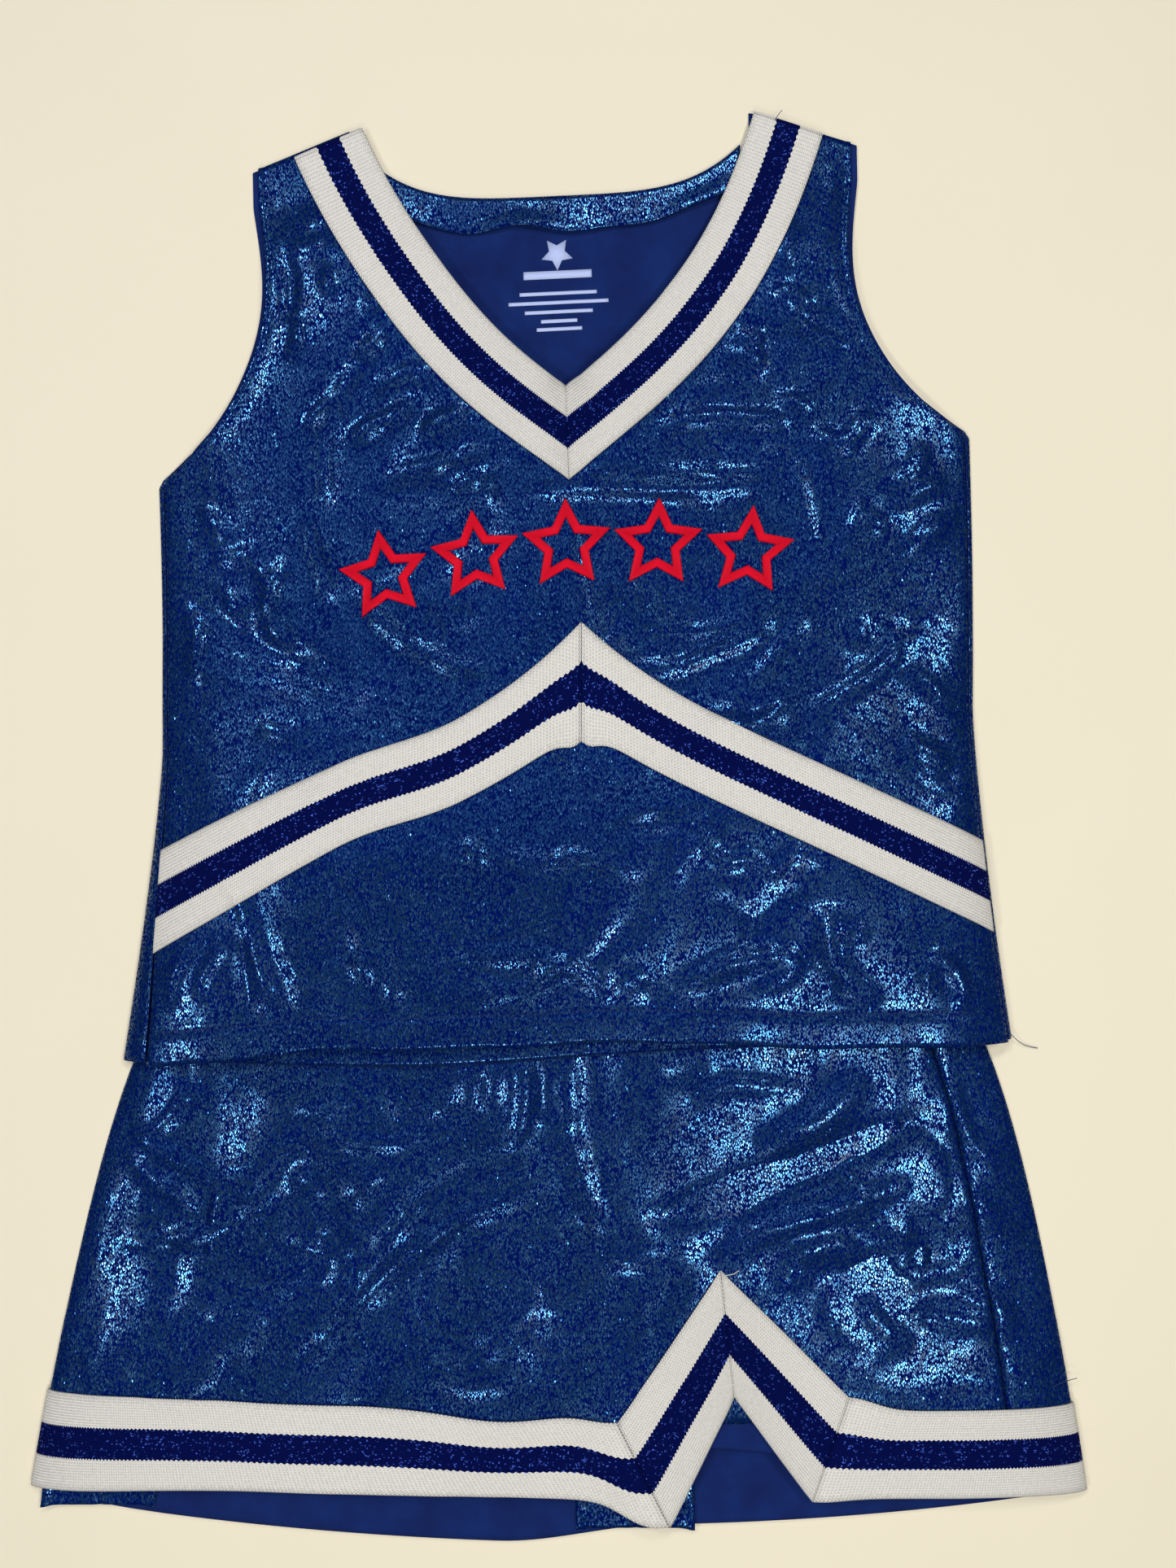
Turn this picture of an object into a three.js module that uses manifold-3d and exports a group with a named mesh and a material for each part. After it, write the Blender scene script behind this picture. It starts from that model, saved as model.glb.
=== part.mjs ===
// A child's two-piece cheer uniform, laid flat: a sleeveless shell top over the waistband of an
// A-line skirt with built-in shorts. Millimetres. X runs across the garment, +Y from the hems to
// the shoulders and +Z up from the surface it lies on.
//
// Sizes are written in a pattern frame: x = 0 on the centre line and y = 0 at the shell's hem.
// Each garment is a flattened tube. Position s round a tube is 0 at the front centre, 1 at the
// right fold, 2 at the back centre and -1 at the left fold. The finished group is moved so that
// the centre of its box's base is the origin.
import * as THREE from "three";
import { mergeVertices } from "three/addons/utils/BufferGeometryUtils.js";
import Module from "manifold-3d";

const wasm = await Module();
wasm.setup();

// ---- Driving dimensions ---------------------------------------------------------------------

const fabric = 0.8; // thickness of every knitted panel
const gap = 0.4; // clearance between pieces that are sewn or laid together
const columnsPerQuarter = 12; // facets from a garment's centre to its fold
const foldPower = 12; // how far out the front stays level before it rolls down to the folds

const shell = {
  chestHalf: 175,
  hemHalf: 192,
  flareStart: 140, // the sides are straight above this height and flare below it
  flarePower: 1.3,
  armpitY: 257,
  shoulderTipHalf: 130,
  shoulderSlope: 0.34,
  neckPointHalf: 86.5,
  neckPointY: 406.5,
  air: 6, // between the middle surfaces of the front and the back
  seamInset: 0.1, // how far the side seams sit in front of the folds, in s
  seamTwist: 0.126, // extra at the hem of the left seam, where the shell has turned a little
  armholeInset: 0.13, // the front's armholes are cut in by this much, the back's are not
  overSkirt: 1, // clearance under the shell where it lies on the skirt
};
shell.shoulderTipY = shell.neckPointY - shell.shoulderSlope * (shell.shoulderTipHalf - shell.neckPointHalf);

const neck = { apexY: 269.5, backY: 373, backRise: 15, facingHeight: 14, facingHalf: 64, tuck: 2 };
const shellBraid = { width: 32, thickness: 1.2 };
const skirtBraid = { width: 38, thickness: 1.2 };
const chevron = { apexX: 6, apexY: 186.5, drop: 100, reach: 186 };

// The chest motif fills the room between the point of the V and the chevron.
const chestRoom = neck.apexY - 0.59 * shellBraid.width - chevron.apexY;
const star = { count: 5, radius: 0.32 * chestRoom, inner: 0.5, rise: 8, thickness: 1.2 };
star.pitch = 1.95 * star.radius;
star.stroke = 0.22 * star.radius;
star.y = chevron.apexY + 0.54 * chestRoom;

const label = { width: 46, height: 36, y: 336, corner: 4, thickness: 0.4 };

const skirt = {
  waistHalf: 157,
  hemHalf: 227,
  flarePower: 0.48,
  waistTopY: 82, // how far the waistband reaches up under the shell
  bandHeight: 50,
  length: 277,
  frontSag: 4,
  backSag: 19,
  air: 6.4,
  rightSeamS: 8 / columnsPerQuarter, // the skirt is turned a little, so this seam shows in front
  backSeamS: 23 / columnsPerQuarter,
};
skirt.seamY = skirt.waistTopY - skirt.bandHeight;
skirt.hemY = skirt.waistTopY - skirt.length;
skirt.top = fabric + skirt.air;

// The braid's corners at the notch in the skirt's front hem. Inner ones are on the notch itself.
const notchX = 0.32 * skirt.hemHalf;
const notch = {
  apexOuter: [notchX - 6, skirt.hemY + 99.5],
  apexInner: [notchX, skirt.hemY + 44.5],
  leftOuter: [notchX - 51, skirt.hemY + 33.5],
  leftInner: [notchX - 28, skirt.hemY - 12],
  rightOuter: [notchX + 50, skirt.hemY + 44.5],
  rightInner: [notchX + 34, skirt.hemY - 1],
};

const elastic = { height: 38, thickness: 1.2 };
const shorts = {
  waistHalf: 0.83 * skirt.waistHalf,
  hipHalf: 0.7 * skirt.hemHalf,
  crotchHalf: 18,
  crotchY: skirt.hemY + 47,
  bandY: skirt.hemY + 32,
  bandHeight: 12,
};
shorts.lift = fabric + gap; // above the middle of the skirt's back, and below the middle of its front
shorts.legHalf = (shorts.hipHalf - 6 - shorts.crotchHalf) / 2;

const lay = { lean: 6, hemSkew: 0.024, chestSkew: 0.042, skewSpan: 430 };

const colours = {
  sparkle: ["#17418a", 0.35, 0.5],
  plain: ["#14265c", 0.9, 0],
  braid: ["#e9e6dd", 0.85, 0],
  thread: ["#e0203a", 0.5, 0],
  elastic: ["#dcdcd8", 0.8, 0],
  print: ["#aab4dc", 0.6, 0],
};

const shellRows = 30;
const seamClear = 0.01; // clearance at the side seams, in s

// ---- Helpers --------------------------------------------------------------------------------

const { clamp, lerp, smoothstep } = THREE.MathUtils;
const group = new THREE.Group();

function add(name, geometry, colour) {
  const [color, roughness, metalness] = colours[colour];
  const mesh = new THREE.Mesh(geometry, new THREE.MeshStandardMaterial({ color, roughness, metalness }));
  mesh.name = name;
  group.add(mesh);
}

function solid(geometry) {
  const bare = geometry.index ? geometry.toNonIndexed() : geometry.clone();
  bare.deleteAttribute("normal");
  bare.deleteAttribute("uv");
  const merged = mergeVertices(bare, 1e-3);
  return new wasm.Manifold(
    new wasm.Mesh({
      numProp: 3,
      vertProperties: new Float32Array(merged.attributes.position.array),
      triVerts: new Uint32Array(merged.index.array),
    }),
  );
}

function cut(geometry, ...tools) {
  const mesh = tools.reduce((made, tool) => made.subtract(solid(tool)), solid(geometry)).getMesh();
  return new THREE.BufferGeometry()
    .setAttribute("position", new THREE.BufferAttribute(mesh.vertProperties, 3))
    .setIndex(new THREE.BufferAttribute(mesh.triVerts, 1));
}

// A tall prism over a closed outline, for cutting through a layer.
function prism(points) {
  const shape = new THREE.Shape(points.map(([x, y]) => new THREE.Vector2(x, y)));
  return new THREE.ExtrudeGeometry(shape, { depth: 80, bevelEnabled: false }).translate(0, 0, -20);
}

function normalOf(surface, u, v) {
  const step = 1e-3;
  const along = new THREE.Vector3().subVectors(surface(u + step, v), surface(u - step, v));
  const up = new THREE.Vector3().subVectors(surface(u, v + step), surface(u, v - step));
  return along.cross(up).normalize();
}

// A piece of cloth: a box whose width and height follow surface(u, v). Its middle is lifted off
// that surface along the surface's normal.
function cloth(surface, columns, rows, thickness, lift = 0) {
  const geometry = new THREE.BoxGeometry(1, 1, 1, columns, rows, 1);
  const at = geometry.attributes.position;
  for (let i = 0; i < at.count; i++) {
    const [u, v, side] = [at.getX(i) + 0.5, at.getY(i) + 0.5, at.getZ(i)];
    const point = surface(u, v).addScaledVector(normalOf(surface, u, v), lift + side * thickness);
    at.setXYZ(i, point.x, point.y, point.z);
  }
  return geometry;
}

function onTop(thickness) {
  return fabric / 2 + gap + thickness / 2;
}

function fromTube(s) {
  const turned = THREE.MathUtils.euclideanModulo(s + 2, 4) - 2;
  const front = Math.abs(turned) <= 1;
  const place = front ? turned : Math.sign(turned) * 2 - turned;
  return { front, across: Math.sin((place * Math.PI) / 2) };
}

// Places along a tube: the two ends, and between them the columns that every layer shares, so that
// pieces sewn to a panel bend with it.
function places(from, first, last, to) {
  const inner = Array.from({ length: last - first + 1 }, (_, i) => (first + i) / columnsPerQuarter);
  return [from, ...inner, to];
}

function along(list, u) {
  const spans = list.length - 1;
  const i = clamp(Math.floor(u * spans), 0, spans - 1);
  return lerp(list[i], list[i + 1], u * spans - i);
}

function tubeAt(x, half) {
  return (2 / Math.PI) * Math.asin(x / half);
}

function roll(across) {
  return Math.sqrt(Math.max(0, 1 - Math.min(1, Math.abs(across)) ** foldPower));
}

// ---- The shell's shape ----------------------------------------------------------------------

function shellHalf(y) {
  if (y <= shell.armpitY) {
    const flare = Math.max(0, 1 - y / shell.flareStart) ** shell.flarePower;
    return lerp(shell.chestHalf, shell.hemHalf, flare);
  }
  const down = clamp((shell.shoulderTipY - y) / (shell.shoulderTipY - shell.armpitY), 0, 1);
  const out = down ** 4.5 - 0.1 * Math.sin(Math.PI * down);
  return lerp(shell.shoulderTipHalf, shell.chestHalf, out);
}

// The shell's back lies on the surface at the chest and climbs over the skirt at the hem.
function shellBackZ(across, y) {
  const climb = 1 - smoothstep(y, skirt.waistTopY + 2, skirt.waistTopY + 102);
  return fabric / 2 + climb * (skirt.top + shell.overSkirt) * roll(across);
}

// The front stands off the back, and comes down to it at the side seams and the shoulder seams.
function aboveArmpit(y) {
  return smoothstep(y, shell.armpitY - 2, shell.armpitY + 22);
}

function shellFrontZ(across, y, open = aboveArmpit(y)) {
  const side = roll(across * (1 - 0.12 * open));
  const shoulder = lerp(1, 0.24, smoothstep(y, shell.shoulderTipY - 45, shell.shoulderTipY + 4));
  return shellBackZ(across, y) + shell.air * side * shoulder;
}

// The shell lies a little askew, with its right side higher.
function laid(x, y, z) {
  const chest = lay.chestSkew * Math.sin(Math.PI * clamp(y / lay.skewSpan, 0, 1)) ** 2;
  const lean = lay.lean * smoothstep(y, 180, 420);
  return new THREE.Vector3(x - lean, y + x * (lay.hemSkew + chest), z);
}

function shellPoint(s, y, open) {
  const { front, across } = fromTube(s);
  const x = shellHalf(y) * across;
  const past = Math.max(0, Math.abs(x) - shell.neckPointHalf);
  const drop = shell.shoulderSlope * past * smoothstep(y, shell.armpitY + 40, shell.neckPointY);
  return laid(x, y - drop, front ? shellFrontZ(across, y, open) : shellBackZ(across, y));
}

function onShell(x, y) {
  return laid(x, y, shellFrontZ(x / shellHalf(y), y));
}

// Distance of a side seam in front of the fold. It ends at the armpit, above which the front's
// edge and the back's part to make the armhole.
function seamInset(side, y) {
  return shell.seamInset + (side < 0 ? shell.seamTwist * Math.max(0, 1 - y / 160) : 0);
}

function frontEdge(side, y) {
  return side * (1 - lerp(seamInset(side, y), shell.armholeInset, aboveArmpit(y)) - 0.3 * seamClear);
}

function backEdge(side, y) {
  return side * (1 - lerp(seamInset(side, y), -0.02, aboveArmpit(y)) + 0.7 * seamClear);
}

function frontPanel() {
  const surface = (u, v) => {
    const y = shell.neckPointY * v;
    return shellPoint(along(places(frontEdge(-1, y), -9, 10, frontEdge(1, y)), u), y);
  };
  return cut(cloth(surface, 21, shellRows, fabric), frontNeckHole());
}

function backPanel() {
  const surface = (u, v) => {
    const y = shell.neckPointY * v;
    const right = backEdge(1, y);
    const left = backEdge(-1, y) + 4;
    const list = places(Math.max(1, right + 0.04), 13, 35, Math.min(3, left - 0.04));
    return shellPoint(along([right, (right + list[0]) / 2, ...list, (left + list.at(-1)) / 2, left], u), y, 0);
  };
  return cut(cloth(surface, 28, shellRows, fabric), backNeckHole());
}

// ---- Neck -----------------------------------------------------------------------------------

// Middle of a neck braid, from the point of the V to the shoulder seam.
function neckLine(side) {
  const x = shell.neckPointHalf + shellBraid.width * 0.45;
  const y = shell.neckPointY - 6;
  const at = (px, py) => new THREE.Vector2(side * px, py);
  return new THREE.CubicBezierCurve(at(0, neck.apexY), at(0.47 * x, neck.apexY + 30), at(0.89 * x, y - 39), at(x, y));
}

// A place on a neck braid, where out is the distance from its middle away from the opening. The
// braids are mitred where they meet at the point of the V.
function neckPlace(side, u, out) {
  const line = neckLine(side);
  const tangent = line.getTangent(clamp(u, 0, 1));
  const square = new THREE.Vector2(tangent.y * side, -tangent.x * side);
  const mitre = new THREE.Vector2(0, -1 / Math.abs(line.getTangent(0).x));
  const place = line.getPoint(clamp(u, 0, 1)).addScaledVector(mitre.lerp(square, smoothstep(u, 0, 0.25)), out);
  return place.addScaledVector(tangent, u - clamp(u, 0, 1));
}

function neckBraid(side) {
  const surface = (u, v) => {
    const along = side > 0 ? u : 1 - u;
    const place = neckPlace(side, along, (0.5 - v) * shellBraid.width);
    return onShell(place.x + side * 0.5 * gap, place.y);
  };
  return cloth(surface, 16, 2, shellBraid.thickness, onTop(shellBraid.thickness));
}

function frontNeckHole() {
  const edge = (side) =>
    Array.from({ length: 10 }, (_, i) => {
      const place = neckPlace(side, i / 9, neck.tuck - shellBraid.width / 2);
      const { x, y } = laid(place.x, place.y, 0);
      return [x, y];
    });
  const [left, right] = [edge(-1).reverse(), edge(1)];
  const top = shell.neckPointY + 60;
  return prism([...left, ...right.slice(1), [right.at(-1)[0] + 6, top], [left[0][0] - 6, top]]);
}

function backNeckY(x) {
  return neck.backY + neck.backRise * Math.abs(x / 77) ** 4;
}

function backNeckHole() {
  const half = shell.neckPointHalf - 2;
  const edge = Array.from({ length: 13 }, (_, i) => {
    const along = lerp(-half, half, i / 12);
    const { x, y } = laid(along, backNeckY(along), 0);
    return [x, y];
  });
  const top = shell.neckPointY + 60;
  return prism([...edge, [edge.at(-1)[0] + 6, top], [edge[0][0] - 6, top]]);
}

function onBack(x, y) {
  return laid(x, y, shellBackZ(0, y));
}

function neckFacing() {
  const surface = (u, v) => {
    const x = lerp(-neck.facingHalf, neck.facingHalf, u);
    return onBack(x, backNeckY(x) - 1 - neck.facingHeight * (1 - v));
  };
  return cloth(surface, 14, 1, fabric, onTop(fabric));
}

function neckLabel() {
  const surface = (u, v) => onBack((u - 0.5) * label.width, label.y + (v - 0.5) * label.height);
  return cloth(surface, 1, 1, label.thickness, onTop(label.thickness));
}

// ---- Chest ----------------------------------------------------------------------------------

function chevronTop(x) {
  const away = Math.abs(x - chevron.apexX) / chevron.reach;
  const bow = 0.28 * Math.sin(Math.PI * Math.min(1, away)) * Math.exp(-2.6 * away);
  return chevron.apexY - chevron.drop * (away + bow);
}

function chevronPlace(x, down) {
  const aside = chevron.apexX + Math.max(4, Math.abs(x - chevron.apexX));
  const slope = (chevronTop(aside + 2) - chevronTop(aside - 2)) / 4;
  return chevronTop(x) - down * Math.hypot(1, slope);
}

function chevronBraid(side) {
  const inner = chevron.apexX + side * 0.5 * gap;
  const surface = (u, v) => {
    let y = chevron.apexY;
    let s = 0;
    for (let i = 0; i < 5; i++) {
      const mitre = tubeAt(inner, shellHalf(y));
      const edge = frontEdge(side, y);
      s = along(side > 0 ? places(mitre, 1, 10, edge) : places(edge, -9, 0, mitre), u);
      y = chevronPlace(shellHalf(y) * fromTube(s).across, (1 - v) * shellBraid.width);
    }
    return shellPoint(s, y);
  };
  return cloth(surface, 11, 2, shellBraid.thickness, onTop(shellBraid.thickness));
}

function starOutline(radius) {
  const points = Array.from({ length: 10 }, (_, i) => {
    const reach = i % 2 ? radius * star.inner : radius;
    const angle = Math.PI / 2 + (i * Math.PI) / 5;
    return new THREE.Vector2(reach * Math.cos(angle), reach * Math.sin(angle));
  });
  return points;
}

function chestStar(index) {
  const place = index - (star.count - 1) / 2;
  const shape = new THREE.Shape(starOutline(star.radius));
  shape.holes.push(new THREE.Path(starOutline(star.radius - 2 * star.stroke).reverse()));
  const { x, y, z } = laid(place * star.pitch, star.y - star.rise * (place / 2) ** 2, shellFrontZ(0, star.y));
  return new THREE.ExtrudeGeometry(shape, { depth: star.thickness, bevelEnabled: false })
    .rotateZ(-place * 0.06)
    .translate(x, y, z + fabric / 2 + gap);
}

// ---- The skirt's shape ----------------------------------------------------------------------

function skirtHalf(y) {
  const down = Math.max(0, (skirt.seamY - y) / (skirt.seamY - skirt.hemY));
  return lerp(skirt.waistHalf, skirt.hemHalf, down ** skirt.flarePower);
}

function hemAt(s) {
  const { front, across } = fromTube(s);
  const x = across * skirt.hemHalf;
  const corner = front ? 12.5 * Math.exp(-(((x - notch.leftInner[0]) / 20) ** 2)) : 0;
  return skirt.hemY + 5 - (front ? skirt.frontSag : skirt.backSag) * (1 - across ** 2) - corner - 3 * across;
}

// The skirt's back rests on the surface, and on its own braid near the hem.
function skirtBackZ(y) {
  const hem = 1 - smoothstep(y, skirt.hemY + 42, skirt.hemY + 112);
  return fabric / 2 + hem * (skirtBraid.thickness + gap);
}

function skirtFrontZ(across, y) {
  return skirtBackZ(y) + skirt.air * roll(across);
}

function skirtPoint(s, y) {
  const { front, across } = fromTube(s);
  return new THREE.Vector3(skirtHalf(y) * across, y, front ? skirtFrontZ(across, y) : skirtBackZ(y));
}

function skirtPanel(from, to) {
  const clear = gap / skirt.hemHalf / 1.4;
  const first = Math.floor(from * columnsPerQuarter) + 1;
  const last = Math.ceil(to * columnsPerQuarter) - 1;
  const list = places(from + clear, first, last, to - clear);
  const surface = (u, v) => {
    const s = along(list, u);
    return skirtPoint(s, lerp(hemAt(s), skirt.seamY - 2 * gap, v));
  };
  return cloth(surface, list.length - 1, 12, fabric);
}

function notchHole() {
  const out = 2;
  const low = skirt.hemY - 40;
  const down = (foot) => {
    const [x, y] = notch.apexInner;
    return x + ((foot[0] - x) * (low - y)) / (foot[1] - y);
  };
  return prism([
    [notch.apexInner[0], notch.apexInner[1] + 2 * out],
    [down(notch.leftInner) - out, low],
    [down(notch.rightInner) + out, low],
  ]);
}

// ---- The skirt's braid ----------------------------------------------------------------------

function between(a, b, share) {
  return [lerp(a[0], b[0], share), lerp(a[1], b[1], share)];
}

// From the notch round one fold to the back seam. It is mitred where it meets the notch's braid.
function hemBraid(side) {
  const inner = side > 0 ? notch.rightInner : notch.leftInner;
  const outer = side > 0 ? notch.rightOuter : notch.leftOuter;
  const backS = (side > 0 ? skirt.backSeamS : skirt.backSeamS - 4) - (side * gap) / skirt.hemHalf / 1.4;
  const first = Math.ceil(tubeAt(outer[0], skirtHalf(outer[1])) * columnsPerQuarter + 0.2);
  const surface = (u, v) => {
    const [x, y] = between(inner, outer, v);
    const mitre = tubeAt(x + side * 0.5 * gap, skirtHalf(y));
    const s = along(side > 0 ? places(mitre, first, 22, backS) : places(backS, -24, 0, mitre), u);
    const near = Math.exp(-((((s - mitre) * skirt.hemHalf) / 12) ** 2));
    return skirtPoint(s, lerp(hemAt(s) + v * skirtBraid.width, y, near));
  };
  return cloth(surface, side > 0 ? 24 - first : 26, 3, skirtBraid.thickness, onTop(skirtBraid.thickness));
}

function notchBraid(side) {
  const [footInner, footOuter] = side > 0
    ? [notch.rightInner, notch.rightOuter]
    : [notch.leftInner, notch.leftOuter];
  const surface = (u, v) => {
    const along = side > 0 ? 1 - u : u;
    const [x, y] = between(
      between(footInner, footOuter, v),
      between(notch.apexInner, notch.apexOuter, v),
      along,
    );
    const clear = side * 0.5 * gap * (2 * along - 1);
    return new THREE.Vector3(x + clear, y, skirtFrontZ(x / skirtHalf(y), y));
  };
  return cloth(surface, 6, 3, skirtBraid.thickness, onTop(skirtBraid.thickness));
}

// ---- Waist and shorts -----------------------------------------------------------------------

function stadium(Kind, half, low, high) {
  const radius = (high - low) / 2;
  const path = new Kind();
  path.absarc(half - radius, low + radius, radius, -Math.PI / 2, Math.PI / 2, false);
  path.absarc(radius - half, low + radius, radius, Math.PI / 2, (3 * Math.PI) / 2, false);
  return path;
}

// A band that goes all the way round and lies flat.
function band(half, low, high, wall, fromY, toY) {
  const shape = stadium(THREE.Shape, half, low, high);
  shape.holes.push(stadium(THREE.Path, half - wall, low + wall, high - wall));
  return new THREE.ExtrudeGeometry(shape, { depth: toY - fromY, bevelEnabled: false, curveSegments: 8 })
    .rotateX(Math.PI / 2)
    .translate(0, toY, 0);
}

function shortsHalf(y) {
  const hip = smoothstep(skirt.seamY - y, 0, 120);
  return lerp(shorts.waistHalf, shorts.hipHalf, hip) - 6 * smoothstep(skirt.seamY - y, 120, 200);
}

function shortsPanel(heightOf) {
  const surface = (u, v) => {
    const y = lerp(shorts.bandY + gap, skirt.seamY - gap, v);
    return new THREE.Vector3((2 * u - 1) * shortsHalf(y), y, heightOf(y));
  };
  const half = shorts.crotchHalf;
  const low = shorts.bandY - 10;
  const crotch = prism([[-half, low], [half, low], [half * 0.4, shorts.crotchY], [-half * 0.4, shorts.crotchY]]);
  return cut(cloth(surface, 4, 10, fabric), crotch);
}

function legBand(side) {
  const y = shorts.bandY;
  const base = skirtBackZ(y - 1) + shorts.lift - fabric / 2;
  const top = skirtBackZ(y - 1) + skirt.air - shorts.lift + fabric / 2;
  return band(shorts.legHalf, base, top, fabric, y - shorts.bandHeight, y)
    .translate(side * (shorts.crotchHalf + shorts.legHalf), 0, 0);
}

function gusset() {
  const surface = (u, v) => {
    const y = shorts.crotchY + 2 + 34 * v;
    return new THREE.Vector3((2 * u - 1) * 18, y, skirtBackZ(y) + shorts.lift + fabric + gap);
  };
  return cloth(surface, 1, 4, fabric);
}

// ---- The shell's pieces ---------------------------------------------------------------------

add("shell_front_panel", frontPanel(), "sparkle");
add("shell_back_panel", backPanel(), "sparkle");
add("back_neck_facing", neckFacing(), "sparkle");
add("neck_label", neckLabel(), "print");
add("neck_braid_left", neckBraid(-1), "braid");
add("neck_braid_right", neckBraid(1), "braid");
add("chevron_braid_left", chevronBraid(-1), "braid");
add("chevron_braid_right", chevronBraid(1), "braid");
for (let i = 0; i < star.count; i++) add(`chest_star_${i + 1}`, chestStar(i), "thread");

// ---- The skirt's pieces ---------------------------------------------------------------------

const leftSeamS = skirt.rightSeamS - 2;
add("skirt_front_panel", cut(skirtPanel(leftSeamS, skirt.rightSeamS), notchHole()), "sparkle");
add("skirt_back_panel_right", skirtPanel(skirt.rightSeamS, skirt.backSeamS), "sparkle");
add("skirt_back_panel_left", skirtPanel(skirt.backSeamS, leftSeamS + 4), "sparkle");
add("hem_braid_left", hemBraid(-1), "braid");
add("hem_braid_right", hemBraid(1), "braid");
add("notch_braid_left", notchBraid(-1), "braid");
add("notch_braid_right", notchBraid(1), "braid");
add("waistband", band(skirt.waistHalf, 0, skirt.top, fabric, skirt.seamY, skirt.waistTopY), "sparkle");

const inside = fabric + gap;
const elasticMiddle = (skirt.seamY + skirt.waistTopY) / 2;
add(
  "waist_elastic",
  band(skirt.waistHalf - inside, inside, skirt.top - inside, elastic.thickness,
    elasticMiddle - elastic.height / 2, elasticMiddle + elastic.height / 2),
  "elastic",
);
add("shorts_front_panel", shortsPanel((y) => skirtBackZ(y) + skirt.air - shorts.lift), "sparkle");
add("shorts_back_panel", shortsPanel((y) => skirtBackZ(y) + shorts.lift), "sparkle");
add("shorts_gusset", gusset(), "plain");
add("leg_band_left", legBand(-1), "sparkle");
add("leg_band_right", legBand(1), "sparkle");

// ---- Place the finished uniform -------------------------------------------------------------

const box = new THREE.Box3().setFromObject(group);
const middle = box.getCenter(new THREE.Vector3());
group.children.forEach((mesh) => mesh.geometry.translate(-middle.x, -middle.y, -box.min.z));
export default group;
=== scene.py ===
"""A child's two-piece cheer uniform lying flat: a shell top laid over the waist of an A-line skirt.

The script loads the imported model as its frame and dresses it. Each garment is a class whose fields
are its sizes in millimetres, written in a pattern frame: x = 0 on the centre line, y = 0 at the
shell's hem. Each garment is a flattened tube, where s round the tube is 0 at the front centre, 1 at
the right fold, 2 at the back centre and -1 at the left fold.
"""
import logging
import math
from dataclasses import dataclass, field
from enum import Enum
from typing import Callable, Sequence

import bmesh
import bpy
import numpy as np
from mathutils import Matrix, Vector


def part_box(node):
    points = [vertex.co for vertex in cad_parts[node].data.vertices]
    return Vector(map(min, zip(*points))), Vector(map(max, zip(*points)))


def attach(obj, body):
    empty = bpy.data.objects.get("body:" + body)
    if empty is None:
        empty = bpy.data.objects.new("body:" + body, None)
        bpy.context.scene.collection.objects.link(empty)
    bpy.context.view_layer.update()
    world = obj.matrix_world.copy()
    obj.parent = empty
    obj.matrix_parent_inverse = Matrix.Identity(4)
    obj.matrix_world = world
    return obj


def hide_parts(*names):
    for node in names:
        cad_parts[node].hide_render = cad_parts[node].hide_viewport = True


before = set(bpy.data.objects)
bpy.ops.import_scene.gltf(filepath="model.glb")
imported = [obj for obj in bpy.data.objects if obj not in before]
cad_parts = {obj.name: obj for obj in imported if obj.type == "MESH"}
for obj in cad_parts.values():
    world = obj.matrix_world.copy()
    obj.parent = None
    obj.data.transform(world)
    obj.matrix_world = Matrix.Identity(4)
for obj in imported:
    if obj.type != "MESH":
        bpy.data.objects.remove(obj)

log = logging.getLogger("cheer_uniform")

MM = 0.001
FABRIC = 0.8  # thickness that the frame gives every panel, mm
MITRE_GAP = 0.12  # half the gap between the two sides of a mitre, mm
SEAM_GAP = 0.0012  # half the gap at a skirt seam, round the tube
DEEPEST = 3.2  # deepest that a fold sinks, mm
# least share of its rectangle that a sheet may be declared to fill
LEAST_CUT = 0.3  # least share of its rectangle that a sheet's worked-out area is held to
WAIST_TOP = 82.0  # upper edge of the waistband in the pattern frame, mm
CLOTH = "_cloth"  # ends the name of every piece of cloth
UV = "Cloth"  # name of the map that follows a cut, in metres

Array = np.ndarray
Place = tuple[Array, Array, Array]
Surface = Callable[[Array, Array], Place]
SIDES = {-1: "_left", 1: "_right"}


# ---- Numbers ---------------------------------------------------------------------------------


def lerp(a: Array | float, b: Array | float, share: Array | float) -> Array | float:
    """Value a share of the way from a to b."""
    return a + (b - a) * share


def smooth(x: Array | float, low: float, high: float) -> Array | float:
    """Smooth step from 0 at low to 1 at high."""
    t = np.clip((x - low) / (high - low), 0.0, 1.0)
    return t * t * (3 - 2 * t)


def bump(x: Array | float, middle: float, width: float) -> Array | float:
    """Bell of height 1 round a middle."""
    return np.exp(-(((x - middle) / width) ** 2))


def roll(across: Array | float, power: float = 12.0) -> Array | float:
    """Height share of a flattened tube: level in the middle and rolled down at the folds."""
    return np.sqrt(np.maximum(0.0, 1 - np.minimum(1.0, np.abs(across)) ** power))


def shallow(rise: Array, depth: float) -> Array:
    """Heights that sink softly no further than a depth."""
    return np.where(rise < 0, depth * np.tanh(rise / depth), rise)


def crowned(v: Array, height: float, power: int = 8) -> Array:
    """Height of a strip's rounded face, at shares of the way across it."""
    return height * np.sqrt(np.maximum(0.0, 1 - (2 * v - 1) ** power))


def pinched(away: Array) -> Array:
    """How deep a mitre's seam pulls a braid down, by the distance from it, mm."""
    return 0.8 * bump(away, 0, 4)


def from_tube(s: Array) -> tuple[Array, Array]:
    """Where a place round a tube is.

    Args:
        s: Places round the tube.

    Returns:
        Whether each is on the front, and its share of the half width, from -1 to 1.
    """
    turned = np.mod(s + 2, 4) - 2
    front = np.abs(turned) <= 1
    place = np.where(front, turned, np.sign(turned) * 2 - turned)
    return front, np.sin(place * math.pi / 2)


def tube_at(x: Array | float, half: Array | float) -> Array | float:
    """Place round the front of a tube for a distance from its centre line."""
    return np.arcsin(np.clip(x / half, -1, 1)) * 2 / math.pi


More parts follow.
